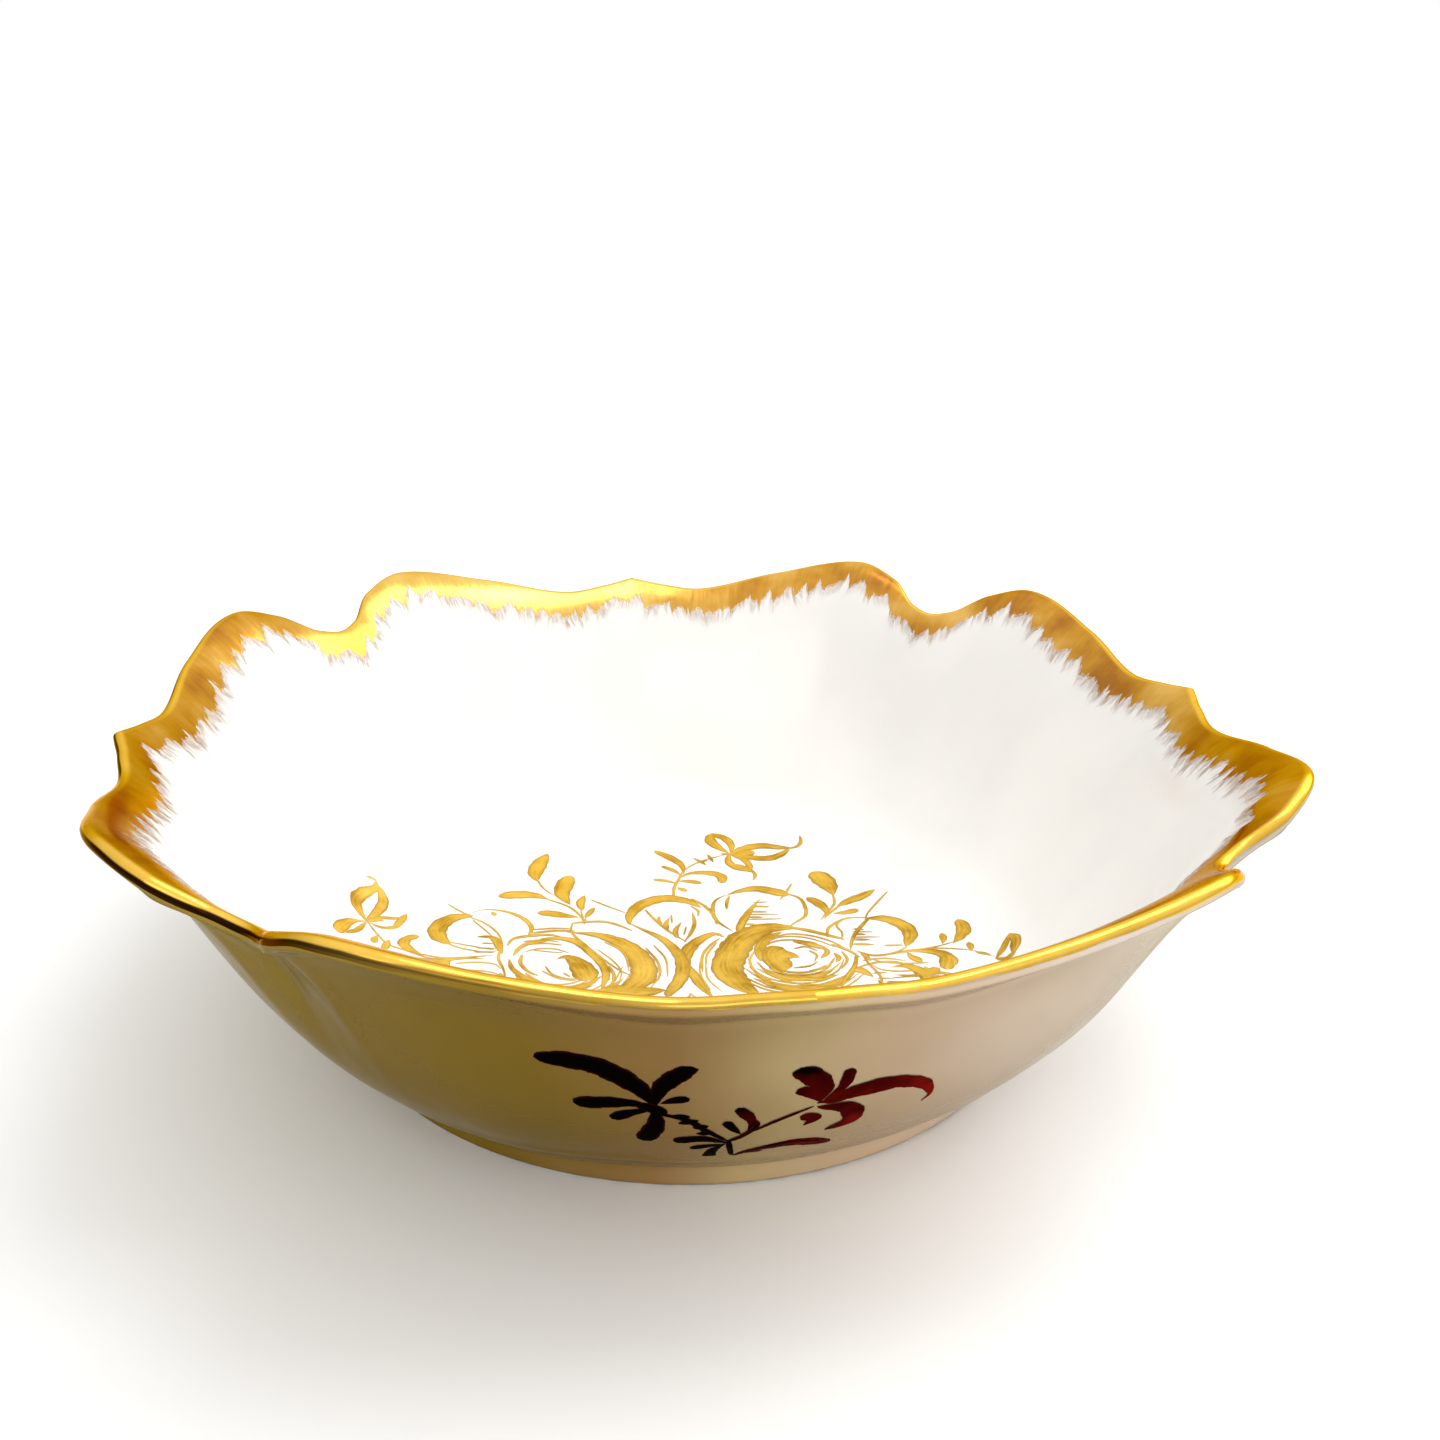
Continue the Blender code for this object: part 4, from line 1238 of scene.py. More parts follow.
# On the inside, knots are plan positions in mm, seen from above.
MOTIFS: dict[str, list[Stroke]] = {
    "spray_far_left": [
        dab(3.0, PETAL, (-76, 13.5), (-78.6, 19), (-77.2, 24), (-74.8, 28), (-74.6, 31)),
        dab(2.7, PETAL, (-76, 14), (-74, 18), (-72.6, 23), (-73.2, 27), (-75, 30.5)),
        dab(0.9, HAIR, (-74.5, 31), (-75.6, 31.2), (-77, 30.6)),
        dab(1.3, PETAL, (-75.4, 13.6), (-73, 16.6), (-70, 17.6), (-67.6, 18.4), (-66.8, 20.6)),
        dab(1.4, PETAL, (-75.4, 13.4), (-72.5, 12.6), (-69.5, 13.6), (-68, 16), (-67, 20)),
        dab(2.1, PETAL, (-69.6, 14.2), (-68, 17), (-67.1, 20.2)),
        dab(1.5, PETAL, (-75.8, 13.4), (-74, 15.2), (-72, 16)),
        dab(2.7, TAIL, (-75.8, 13.6), (-79, 11), (-81, 6.5), (-81.6, 3.4)),
        dab(1.3, PETAL, (-75.8, 13.4), (-77.6, 8.4), (-80.4, 4.6)),
        dab(0.6, HAIR, (-76, 14), (-73, 9), (-70.5, 5.5), (-66, 2.4), (-61, -1.6), (-57, -2.6)),
        dab(1.7, LEAF, (-73.2, 8.6), (-73.6, 6.8), (-73.7, 5)),
        dab(2.0, LEAF, (-70.3, 7.6), (-70.8, 5.4), (-71.3, 2.8)),
    ],
    "petal_left": [
        dab(3.0, COMMA, (-63.4, 8.8), (-66.2, 8.4), (-66.9, 5.4), (-64.6, 2), (-62, -0.4)),
        dab(0.7, HAIR, (-63, 0.6), (-58, -2), (-52, -2.6), (-46, -2.4)),
        dab(1.4, PETAL, (-64, -1), (-59, -3.2), (-53, -2.8), (-48.5, -3.8)),
        dab(2.6, COMMA, (-59.6, -5.4), (-57.2, -4.2), (-56.3, -6.6)),
        dab(0.6, HAIR, (-58, -8), (-52, -8.5), (-47, -10), (-44, -12.6)),
        dab(0.6, HAIR, (-55, -5), (-50, -5.2), (-46, -6.6), (-44.5, -9)),
        dab(1.5, LEAF, (-44.8, -10.6), (-44.2, -12.8), (-43.5, -14.6)),
    ],
    "blossom_far_left": [
        dab(4.9, PETAL, (-50.6, 17.6), (-56, 17), (-59, 13), (-58.9, 8.4), (-56.2, 4)),
        dab(3.0, PETAL, (-51.6, 18.6), (-55.5, 16.6), (-57.8, 13)),
        dab(0.6, HAIR, (-57.8, 6), (-54.5, 2.5), (-50, 0), (-46, -1.5)),
        dab(0.5, HAIR, (-57, 5.5), (-53, 3.5), (-48, 1), (-45, -0.5)),
        dab(1.3, TAIL, (-52, 18.6), (-48, 20.4), (-43, 18.8), (-39, 15), (-36.9, 10), (-37.5, 5.8)),
        dab(1.3, LEAF, (-46.2, 19.2), (-45.4, 16.8)),
        dab(0.6, HAIR, (-51.6, 17), (-48, 13.4), (-45, 8), (-44, 3), (-44, -1)),
        dab(0.5, HAIR, (-51, 15.6), (-48, 10), (-46, 6)),
        dab(2.0, PETAL, (-48.6, 7.2), (-46, 5.6), (-44.9, 2), (-44.1, -2.2)),
        dab(0.8, HAIR, (-49.8, 7), (-46.5, 6)),
        dab(0.6, HAIR, (-48.8, 3.6), (-46, 3)),
        dab(0.6, HAIR, (-50, 1.5), (-45.5, 0.6)),
        dab(0.6, HAIR, (-50.5, -0.4), (-45.5, -1)),
        dab(0.5, HAIR, (-57, 24.6), (-54, 20.5), (-51, 17)),
        dab(0.7, HAIR, (-44.5, 0), (-45, -4), (-44, -9), (-43.5, -13)),
    ],
    "rose_left": [
        dab(6.0, TAIL, (-31.8, -6.4), (-29.4, -5.6), (-27.2, -8.4), (-25.8, -12.6), (-25, -17)),
        dab(0.6, HAIR, (-39, -2), (-36, -1), (-32, -1.5), (-28.5, -4)),
        dab(0.5, HAIR, (-37, -1.4), (-33, -2.8), (-30, -3.6)),
        dab(1.0, HAIR, (-39.5, -3), (-40, -7), (-38.4, -11), (-36.2, -13.2)),
        dab(0.6, HAIR, (-34.5, -9), (-33, -13), (-29.5, -15.5), (-26, -16)),
        dab(0.5, HAIR, (-35.4, -11), (-31.8, -15), (-27, -17)),
        dab(0.6, HAIR, (-30.6, -12.6), (-29, -14.8)),
        dab(0.8, HAIR, (-39.2, -11.5), (-36, -16), (-32, -19), (-28, -18.6)),
        dab(0.7, HAIR, (-41, -11.5), (-38, -16.4), (-34, -19), (-30, -20.4), (-25, -20.8)),
        dab(1.4, PETAL, (-42.6, -4.6), (-42, -9), (-40, -12.5), (-36.6, -16.2)),
        dab(1.4, PETAL, (-41.6, -3.6), (-40, 0), (-37.5, 2), (-32.6, 2.6)),
        dab(1.2, PETAL, (-43, 1), (-41.5, 4.4), (-38.5, 5.4), (-33, 5.4), (-29.6, 3.8)),
        dab(0.7, HAIR, (-39, 3), (-34, 3), (-30.5, 1.5)),
        dab(0.7, HAIR, (-38.5, 1.5), (-34, 1.4), (-30, 0)),
        dab(2.2, PETAL, (-35, 3.8), (-30, 3.2), (-26.2, 0.5), (-23.8, -4.5), (-22, -10)),
        dab(2.1, PETAL, (-25, -3), (-21.9, -9), (-20.9, -14.4), (-22.4, -21)),
        dab(0.8, HAIR, (-20, -11), (-19.2, -16), (-20.6, -21)),
        dab(0.6, HAIR, (-23.6, -18), (-28, -20.6), (-32, -20.6)),
        dab(0.9, HAIR, (-36.8, 6.8), (-31, 7.2), (-26.6, 6.4)),
        dab(0.6, HAIR, (-36.6, 8.5), (-31, 8.4), (-27.4, 7.6)),
        dab(0.7, HAIR, (-26.8, 10.6), (-27.4, 6), (-25, 0), (-21.5, -7), (-18, -13), (-15, -16.5)),
        dab(0.9, HAIR, (-27, 10.4), (-23, 10.6), (-19, 10), (-16, 8), (-12.8, 4.6)),
        dab(
            6.2, TAIL, (-28.5, 6.2), (-21, 3.4), (-15.4, -2), (-12.6, -9), (-12.6, -17),
            (-17.5, -22.6)
        ),
        dab(4.6, PETAL, (-8.5, -23.4), (-14, -23.4), (-19, -22), (-24, -21.6)),
        dab(
            3.4, TAIL, (-13.6, 9), (-10.4, 5), (-6.4, 0), (-3.9, -6), (-3, -12), (-4.4, -19),
            (-8.6, -26)
        ),
        dab(0.6, HAIR, (-10.6, -4), (-8.6, -11), (-8.9, -17), (-11.6, -22)),
        dab(0.5, HAIR, (-8.6, -3), (-6.6, -10), (-7.2, -18)),
        dab(0.6, HAIR, (-20, 0), (-17, -3.5), (-15.6, -8), (-15.6, -14)),
        dab(0.5, HAIR, (-22, -3), (-18.8, -9), (-17.4, -14), (-18.4, -19)),
    ],
    "blossom_left": [
        dab(
            4.0, PETAL, (-13.2, 7.6), (-12.6, 12), (-9.4, 17.4), (-3.6, 20.2), (2, 18.4), (5.6, 14)
        ),
        dab(2.6, PETAL, (-10.2, 16.4), (-6, 19.6), (-0.6, 19.8), (3.6, 16.6)),
        dab(1.0, HAIR, (3.6, 19.4), (6.4, 15), (7.9, 10), (8, 4.6)),
        dab(0.7, HAIR, (3, 15.4), (4.5, 12.4), (4, 9.6)),
        dab(0.8, HAIR, (-8.6, 15.2), (-6.6, 9), (-4, 3), (-0.6, -2.6)),
        dab(0.8, HAIR, (-5.4, 11), (-5.8, 9), (-5.2, 7)),
        dab(1.4, LEAF, (-3, 10), (-4.3, 7), (-4.5, 3.4)),
        dab(1.4, LEAF, (-0.4, 7.4), (-2.4, 3.4), (-2.6, -0.4)),
        dab(1.1, PETAL, (3, 12), (2.6, 6), (0.8, 1), (-1.2, -2.6)),
        dab(0.5, HAIR, (-2.4, 11.4), (-2.8, 7)),
        dab(0.5, HAIR, (0.4, 5), (-0.8, 0.6)),
    ],
    "centre_petals": [
        dab(3.7, PETAL, (8.8, -1.6), (6.4, 0.4), (1.6, -3), (-2.2, -9.4), (-3.8, -17), (-7.6, -26)),
        dab(2.5, PETAL, (-3.4, -10), (-1.6, -16), (-0.4, -22), (1.6, -28)),
        dab(0.8, HAIR, (7.6, -1.8), (4.4, -5.4), (2, -10), (1, -17)),
        dab(0.6, HAIR, (6.6, -3.6), (3.4, -9), (2, -15)),
        dab(0.5, HAIR, (1.2, -12), (0.4, -18), (1.6, -25)),
        dab(0.5, HAIR, (2.2, -14), (1.8, -20), (4, -26)),
    ],
    "rose_right": [
        dab(
            8.0, PETAL, (27, 0.6), (20, 1.4), (13.6, -2.4), (9.4, -9), (7.2, -16), (8.4, -22),
            (12, -29)
        ),
        dab(4.6, PETAL, (26, 1.6), (19, 1.6), (13, -1.6), (8.6, -8)),
        dab(4.0, PETAL, (9, -6), (5.4, -14), (5.8, -20), (9, -27)),
        dab(2.8, PETAL, (23, -0.8), (18.4, -4), (15.8, -9), (15.2, -14)),
        dab(6.6, BAND, (21.6, -8.2), (19.2, -10.6), (19, -14.4), (20.4, -18.6)),
        dab(4.4, COMMA, (19, -12), (22, -12), (24.6, -13.4)),
        dab(1.4, PETAL, (31, -8.8), (31.6, -12), (29.4, -14.6)),
        dab(1.3, PETAL, (33, -12.4), (33.7, -14.8), (32.6, -16.8)),
        dab(2.0, PETAL, (21, -20.8), (26, -23.4), (31.4, -22.4)),
        dab(0.7, HAIR, (22, -18), (26, -17.6), (28.4, -15.8)),
        dab(0.7, HAIR, (18, -7), (20, -5.4), (24, -5), (28, -6.6), (31.6, -9.4)),
        dab(0.6, HAIR, (18, -5.4), (22, -3.4), (27, -4), (31, -6.6), (34, -10)),
        dab(0.7, HAIR, (21, -3), (25, -2.2), (30, -4), (34, -7.4), (36.6, -11.6)),
        dab(1.4, HAIR, (25.6, 0.8), (29, -0.8), (33, -3.6), (37.2, -6.6)),
        dab(0.8, HAIR, (16.2, -12), (17.2, -17), (20, -20.6), (25, -22), (30, -20.4), (33.6, -17)),
        dab(0.7, HAIR, (14.2, -14), (16, -19.5), (20, -24), (26, -26), (32, -24), (36, -19)),
        dab(0.6, HAIR, (12.6, -12), (13, -18), (16, -23.6), (17.4, -27)),
        dab(0.6, HAIR, (14.6, -9), (12.6, -14), (13.4, -20), (16.4, -26)),
        dab(1.1, HAIR, (38.2, -14), (36.4, -19), (33, -24), (30.6, -28.6)),
        dab(2.2, PETAL, (24.6, -5.8), (28.4, -7.6), (31.4, -10.6)),
        dab(0.7, HAIR, (25, -20), (30, -18.4), (33, -14.4)),
        dab(0.9, HAIR, (33.4, -8.4), (36.8, -12), (38.6, -15.4)),
        dab(0.7, HAIR, (35, -12), (35.4, -16), (33, -20)),
        dab(0.5, HAIR, (23, -25), (28, -27), (34, -24)),
        dab(0.6, HAIR, (24, -9.4), (27, -8.8), (29.4, -11)),
        dab(0.6, HAIR, (27.4, -10.6), (28.8, -13), (27.6, -15.8)),
    ],
    "blossom_right": [
        dab(1.1, PETAL, (11.4, 0.8), (8.6, 6), (8, 11), (9.5, 17), (13, 20.2)),
        dab(3.8, TAIL, (12.6, 19.4), (16, 21.4), (21, 22.4), (25.4, 20.2), (28.8, 17.6)),
        dab(2.6, PETAL, (17, 21.6), (22, 22.6), (26.6, 19.4), (28.4, 17.4)),
        dab(1.0, PETAL, (13.8, 19.6), (12.4, 16), (11.7, 12)),
        dab(1.0, HAIR, (28.4, 18.6), (31, 16), (31.6, 12), (30.6, 6.5), (27, 3), (25.4, 1.4)),
        dab(0.7, HAIR, (31, 15.6), (31.7, 13), (31, 11)),
        dab(2.2, TAIL, (21.4, 17), (18, 12), (15, 6.5), (12.4, 0.6)),
        dab(0.8, HAIR, (17.8, 13.2), (22.6, 12.2)),
        dab(0.9, HAIR, (16.6, 10.4), (21.6, 9.6)),
        dab(1.0, HAIR, (15.4, 7.6), (20, 7)),
        dab(0.5, HAIR, (15.6, 6.4), (24.4, 5.6)),
        dab(0.9, HAIR, (14.8, 4.2), (19, 3)),
        dab(0.5, HAIR, (16, 9), (24, 8)),
        dab(0.5, HAIR, (19, 15), (22.6, 14.8)),
        dab(0.6, HAIR, (31, 24), (28.5, 19.5), (26, 15.4)),
    ],
    "spray_left": [
        dab(4.7, PETAL, (-34.5, 34.4), (-34.7, 39), (-33.4, 44.4), (-31, 50.4)),
        dab(0.6, HAIR, (-34.5, 35.4), (-33, 30), (-30.4, 25.4)),
        dab(4.2, LEAF, (-32, 23.8), (-35.6, 26.4), (-40, 27.4), (-44.6, 27.2)),
        dab(0.7, HAIR, (-33, 24.4), (-29, 21), (-26.5, 18), (-24.6, 13.5), (-24, 9.4)),
        dab(4.9, LEAF, (-26.8, 20), (-28.4, 26), (-27.4, 31.5), (-25.8, 36.4)),
        dab(3.0, LEAF, (-25, 13.2), (-28.6, 14.6), (-32, 16.2), (-35.2, 17)),
        dab(2.3, PETAL, (-24, 16.6), (-24.2, 20.5), (-22.9, 24.6)),
        dab(1.7, PETAL, (-23.6, 12.8), (-22.4, 15), (-20.9, 17.8)),
        dab(0.5, HAIR, (-24, 9.6), (-24.4, 17)),
        dab(0.5, HAIR, (-24, 9.6), (-23.4, 13)),
        dab(0.6, HAIR, (-21.6, 22.2), (-18, 18.4), (-13.4, 13.8)),
    ],
    "spray_centre": [
        dab(0.9, HAIR, (-0.6, 20.6), (0.4, 26), (2.4, 31), (4, 35.4)),
        dab(2.7, LEAF, (3.9, 33), (4, 38.6), (1.6, 43.5), (-2.1, 48.4)),
        dab(1.7, LEAF, (3.1, 32.6), (1.4, 35.8), (-1.4, 38.8)),
        dab(2.9, TAIL, (2, 30.6), (5.6, 33.4), (10.6, 33), (13.4, 30.6), (13, 26.6)),
        dab(1.5, LEAF, (1.4, 28), (-1.4, 30), (-4.6, 31.2)),
        dab(2.0, LEAF, (1.8, 29.4), (5, 28.8), (7.8, 27.2)),
        dab(1.6, LEAF, (1.2, 26), (2.2, 24.6), (3.4, 23.4)),
        dab(0.6, HAIR, (3.8, 35), (8.5, 39.5), (12.5, 41.6), (17.4, 43.6)),
        dab(1.1, PETAL, (7.8, 42.4), (9.4, 40), (10.6, 37.6)),
        dab(0.9, PETAL, (8.4, 39.4), (11.4, 40.4)),
        dab(1.1, PETAL, (12, 44.2), (12.8, 39.2)),
        dab(3.3, LEAF, (18, 44), (15.4, 48.6), (14.2, 52.6), (15, 57)),
        dab(2.7, LEAF, (18.4, 43.6), (19.4, 49), (18.4, 53.6), (15, 57.4)),
        dab(3.5, PETAL, (18, 43.2), (22, 46.2), (27.4, 47.6), (32, 46), (36, 44.8)),
        dab(3.0, PETAL, (18.4, 43.2), (22.8, 40.8), (28, 39.6), (32, 41.6), (35, 45)),
        dab(4.0, LEAF, (18.6, 43.4), (21.4, 43.2), (25, 44.2)),
        dab(1.1, PETAL, (33.6, 45), (37, 45.6), (39, 48.5), (39.7, 52.8)),
        dab(2.3, PETAL, (18, 43.4), (16.9, 39.4), (18, 35.4), (21.4, 32.4)),
        dab(2.0, PETAL, (18.4, 42.6), (21.2, 39.6), (22, 35.6), (21.4, 32)),
        dab(2.8, PETAL, (18, 37.2), (19.8, 34.8), (22.2, 32.4)),
        dab(1.0, HAIR, (21.8, 33.6), (22.5, 30.4), (21.4, 27.2)),
        dab(1.3, PETAL, (15.6, 44), (19.8, 43)),
    ],
    "spray_right": [
        dab(6.4, LEAF, (40.2, 16), (40.2, 21), (39.4, 26), (38.2, 30.2)),
        dab(0.7, HAIR, (40.2, 17.4), (39.4, 12), (37, 8), (34.8, 4)),
        dab(3.0, PETAL, (39.6, 10), (43.2, 12.4), (47.2, 14.6), (51.6, 17.8)),
        dab(0.7, HAIR, (41, 11), (38, 8), (35.4, 5)),
        dab(3.1, LEAF, (36, 5.8), (36.2, 9.4), (35, 13), (33, 15.8)),
        dab(2.2, LEAF, (37.6, 6.6), (41, 6.6), (44.6, 7.8)),
        dab(0.5, HAIR, (36.2, 7.4), (33.8, 3.6)),
        dab(0.6, HAIR, (54.6, 16.2), (50, 10.5), (46, 5), (44.2, 0.6)),
    ],
    "blossom_far_right": [
        dab(0.9, HAIR, (33.4, -5), (34.5, -1), (37.5, 2), (41, 3.8), (46, 3.2)),
        dab(4.3, PETAL, (45, 3), (50, 2), (53.4, -2), (53.6, -6.6), (50.8, -12)),
        dab(1.1, HAIR, (46, 3), (42, -2), (39, -7), (37.3, -11.6)),
        dab(1.0, PETAL, (40.4, -1.8), (43.2, -2.6)),
        dab(1.0, PETAL, (39.6, -4.2), (43, -5)),
        dab(1.1, PETAL, (38.6, -6.8), (43.4, -7.6)),
        dab(1.0, PETAL, (38, -9), (43.6, -10)),
        dab(0.8, HAIR, (45.8, -10.8), (50.4, -11.2)),
        dab(0.5, HAIR, (40, -3.2), (45, -4)),
        dab(0.5, HAIR, (39, -5.8), (46, -6.6)),
        dab(0.8, HAIR, (38.6, -12.5), (42, -15), (47, -14.6), (51.4, -12)),
        dab(0.6, HAIR, (39.4, 3.4), (37, 0.4), (37.4, -3.4), (36.4, -7)),
    ],
    "bud_right": [
        dab(2.6, COMMA, (35.2, -20.4), (37.4, -21.2), (39.4, -24.6)),
        dab(3.7, TAIL, (44.6, -20.6), (48.6, -20.8), (51, -24), (51.6, -28)),
        dab(0.8, HAIR, (36.6, -20), (41, -18.4), (46, -18.4), (49.4, -21)),
        dab(0.7, HAIR, (38.6, -17), (44, -16.6), (49, -18.4)),
        dab(0.6, HAIR, (39.4, -22.8), (43, -23)),
        dab(0.6, HAIR, (40, -25.2), (43.6, -25.6)),
        dab(0.6, HAIR, (44, -22.6), (47.6, -23)),
    ],
    "spray_far_right": [
        dab(0.7, HAIR, (42, -15.2), (50, -14.4), (58, -13), (64, -11)),
        dab(0.6, HAIR, (48, -14), (56, -13.6), (62, -14.6), (66.4, -16.4), (69.8, -21)),
        dab(3.8, LEAF, (62.6, -12), (65.8, -8.6), (67.6, -5.2), (67.8, -0.6)),
        dab(1.9, LEAF, (60, -12), (61, -9.5), (61.6, -6.8)),
        dab(1.8, LEAF, (65.6, -16.4), (66.2, -14.2), (66.5, -12)),
        dab(1.2, PETAL, (66.4, -16.6), (68, -18.2), (69.2, -19.6)),
        dab(4.0, TAIL, (50.6, -14.4), (56, -15), (59, -18), (57, -23.6)),
        dab(2.2, PETAL, (53.4, -14.4), (58, -16), (60.4, -19.4), (59, -22.6)),
        dab(2.3, LEAF, (50.4, -14.6), (50.9, -17), (52.6, -19.4)),
        dab(1.7, PETAL, (69.6, -22), (72.8, -18.4), (76, -13.8)),
        dab(2.5, PETAL, (75.8, -13.8), (76, -17.5), (73.4, -22.8)),
        dab(1.6, PETAL, (69.4, -21.6), (71.6, -23.6), (74.4, -21.8)),
    ],
}

TURNED_MOTIFS = (
    "petal_left",
    "blossom_far_left",
    "blossom_left",
    "blossom_right",
    "blossom_far_right",
    "spray_left",
    "spray_centre",
    "spray_right",
)

# On the outside, knots are (azimuth in degrees, share of the wall's height).
SPRIG: list[Stroke] = [
    dab(4.6, SWELL, (-101.2, 0.44), (-103, 0.54), (-106.4, 0.62), (-111.2, 0.61)),
    dab(3.0, LEAF, (-101.4, 0.46), (-100.8, 0.55), (-98.2, 0.66)),
    dab(3.0, LEAF, (-101.2, 0.44), (-104, 0.46), (-109, 0.43)),
    dab(1.9, LEAF, (-101, 0.47), (-99.6, 0.49), (-98.3, 0.50)),
    dab(2.0, LEAF, (-101.6, 0.44), (-104, 0.41), (-105.8, 0.37)),
    dab(2.9, LEAF, (-101.6, 0.46), (-101.6, 0.36), (-103.1, 0.255)),
    dab(2.6, PETAL, (-103.4, 0.46), (-101.6, 0.44), (-100.4, 0.42)),
    dab(1.1, HAIR, (-101.4, 0.42), (-98.6, 0.39), (-96.8, 0.33), (-94.2, 0.25)),
    dab(1.4, PETAL, (-100, 0.41), (-98.2, 0.405)),
    dab(1.5, PETAL, (-99.4, 0.37), (-97.4, 0.385)),
    dab(1.5, PETAL, (-98, 0.345), (-96.4, 0.35)),
    dab(1.3, PETAL, (-97.6, 0.31), (-95.8, 0.31)),
    dab(2.3, LEAF, (-94.2, 0.24), (-97, 0.275), (-100, 0.265)),
    dab(1.5, LEAF, (-94.4, 0.23), (-96.4, 0.225), (-98.2, 0.21)),
    dab(2.0, LEAF, (-94.4, 0.24), (-95.8, 0.18), (-95.9, 0.095)),
    dab(0.9, HAIR, (-94.2, 0.26), (-93.8, 0.2), (-93.2, 0.12)),
    dab(1.7, LEAF, (-92.4, 0.31), (-92.2, 0.36), (-93.8, 0.435)),
    dab(1.4, LEAF, (-93, 0.29), (-94, 0.33), (-94.8, 0.37)),
    dab(1.0, HAIR, (-94.2, 0.25), (-92.8, 0.28), (-91.6, 0.33), (-91.7, 0.36)),
    dab(0.7, HAIR, (-92, 0.30), (-88.6, 0.37), (-86.4, 0.41)),
    dab(3.6, LEAF, (-85.8, 0.44), (-86.2, 0.51), (-89, 0.60)),
    dab(2.4, LEAF, (-85.8, 0.43), (-87, 0.475), (-88.6, 0.50)),
    dab(1.7, LEAF, (-85.6, 0.44), (-84.2, 0.50), (-84.1, 0.585)),
    dab(3.2, COMMA, (-85.6, 0.425), (-80.6, 0.485), (-75.6, 0.43), (-73.2, 0.35), (-73.4, 0.31)),
    dab(2.0, PETAL, (-86.2, 0.425), (-82, 0.455), (-77, 0.45)),
    dab(3.1, PETAL, (-86, 0.405), (-82.6, 0.385), (-81.4, 0.31), (-83.8, 0.265)),
    dab(2.2, COMMA, (-87.4, 0.36), (-85.8, 0.35), (-86.6, 0.31)),
    dab(0.9, HAIR, (-93.4, 0.13), (-91, 0.175), (-87, 0.20), (-83.4, 0.185)),
    dab(3.1, LEAF, (-92.6, 0.15), (-87.4, 0.195), (-84, 0.18), (-81.8, 0.13)),
    dab(2.6, LEAF, (-93.8, 0.13), (-91.6, 0.145), (-89.2, 0.12)),
]


@dataclass
class Bouquet:
    """The gold flowers on the inside: the far half and its turned copy towards the diner."""

    # Each rose's heart in mm and the radius of its outermost arc.
    ROSES = {"rose_left": ((-31.0, -10.0), 18.0), "rose_right": ((24.0, -13.0), 17.0)}
    ARCS = 9

    form: BowlForm
    pivot: Knot = (-2.0, -14.0)
    ring_seed: int = 5

    def turned_over(self, stroke: Stroke) -> Stroke:
        """The stroke turned half way round the bouquet's middle."""
        x, y = self.pivot
        return replace(stroke, knots=tuple((2 * x - a, 2 * y - b) for a, b in stroke.knots))

    def rose_rings(self, middle: Knot, spread: float) -> list[Stroke]:
        """Fine arcs that close a rose on its near side.

        Args:
            middle: The rose's heart, in mm.
            spread: Radius of the outermost arc.

        Returns:
            The strokes, the same on every run.
        """
        rng = random.Random(self.ring_seed + round(middle[0]))
        strokes = []
        for k in range(self.ARCS):
            radius = spread * (0.45 + 0.07 * k)
            start, sweep = rng.uniform(190, 215), rng.uniform(95, 150)
            arc = heading(np.radians(start + sweep * np.linspace(0.0, 1.0, 5)))
            knots = [tuple(knot) for knot in middle + radius * arc * (1.0, 0.96)]
            strokes.append(dab(2.4, PETAL, *knots) if k % 4 == 2 else dab(0.7, HAIR, *knots))
        return strokes

    def build(self, gold: bpy.types.Material) -> dict[str, bpy.types.Object]:
        """Paints every motif as its own piece."""
        painted = dict(MOTIFS)
        for name, rose in self.ROSES.items():
            painted[name] = MOTIFS[name] + self.rose_rings(*rose)
        for name in TURNED_MOTIFS:
            painted["near_" + name] = [self.turned_over(stroke) for stroke in MOTIFS[name]]
        pieces = {}
        for name, strokes in painted.items():
            painter = StrokePainter(self.form)
            for stroke in strokes:
                painter.lay(stroke)
            pieces[name] = painter.build("gold_" + name, gold)
        return pieces


@dataclass
class Sprigs:
    """The sprig on the outside, its gilt painted as a dark reflection, facing the diner, and its
    copy on the far side.
    """

    form: BowlForm
    load: float = 1.3

    def build(self, gilt: bpy.types.Material) -> dict[str, bpy.types.Object]:
        """Paints both sprigs with a well loaded brush, so their leaves end blunt."""
        pieces = {}
        for name, turn in (("sprig_front", 0.0), ("sprig_back", 180.0)):
            painter = StrokePainter(self.form, outside=True, turn=turn, spacing=0.5, dome=0.03)
            scale = (painter.mm_per_degree, painter.mm_per_share)
            for stroke in SPRIG:
                knots = [(a * scale[0], t * scale[1]) for a, t in stroke.knots]
                brush = BLUNT if stroke.brush is LEAF else stroke.brush
                painter.lay(dab(stroke.width * self.load, brush, *knots))
            pieces[name] = painter.build("dark_" + name, gilt)
        return pieces


# ================================================================================= the stage
@dataclass(frozen=True)
class SoftBox:
    """A soft light: where it hangs and what it faces in metres, its size and its watts."""

    name: str
    place: Place
    aim: Place
    size: Range
    watts: float
    colour: Colour = (1.0, 1.0, 1.0)

    def hang(self) -> None:
        """Adds the light to the scene."""
        data = bpy.data.lights.new(self.name, "AREA")
        data.shape = "RECTANGLE"
        data.size, data.size_y = self.size
        data.energy, data.color = self.watts, self.colour
        lamp = link_up(self.name, data)
        lamp.location = self.place
        facing = Vector(self.aim) - Vector(self.place)
        lamp.rotation_euler = facing.to_track_quat("-Z", "Y").to_euler()


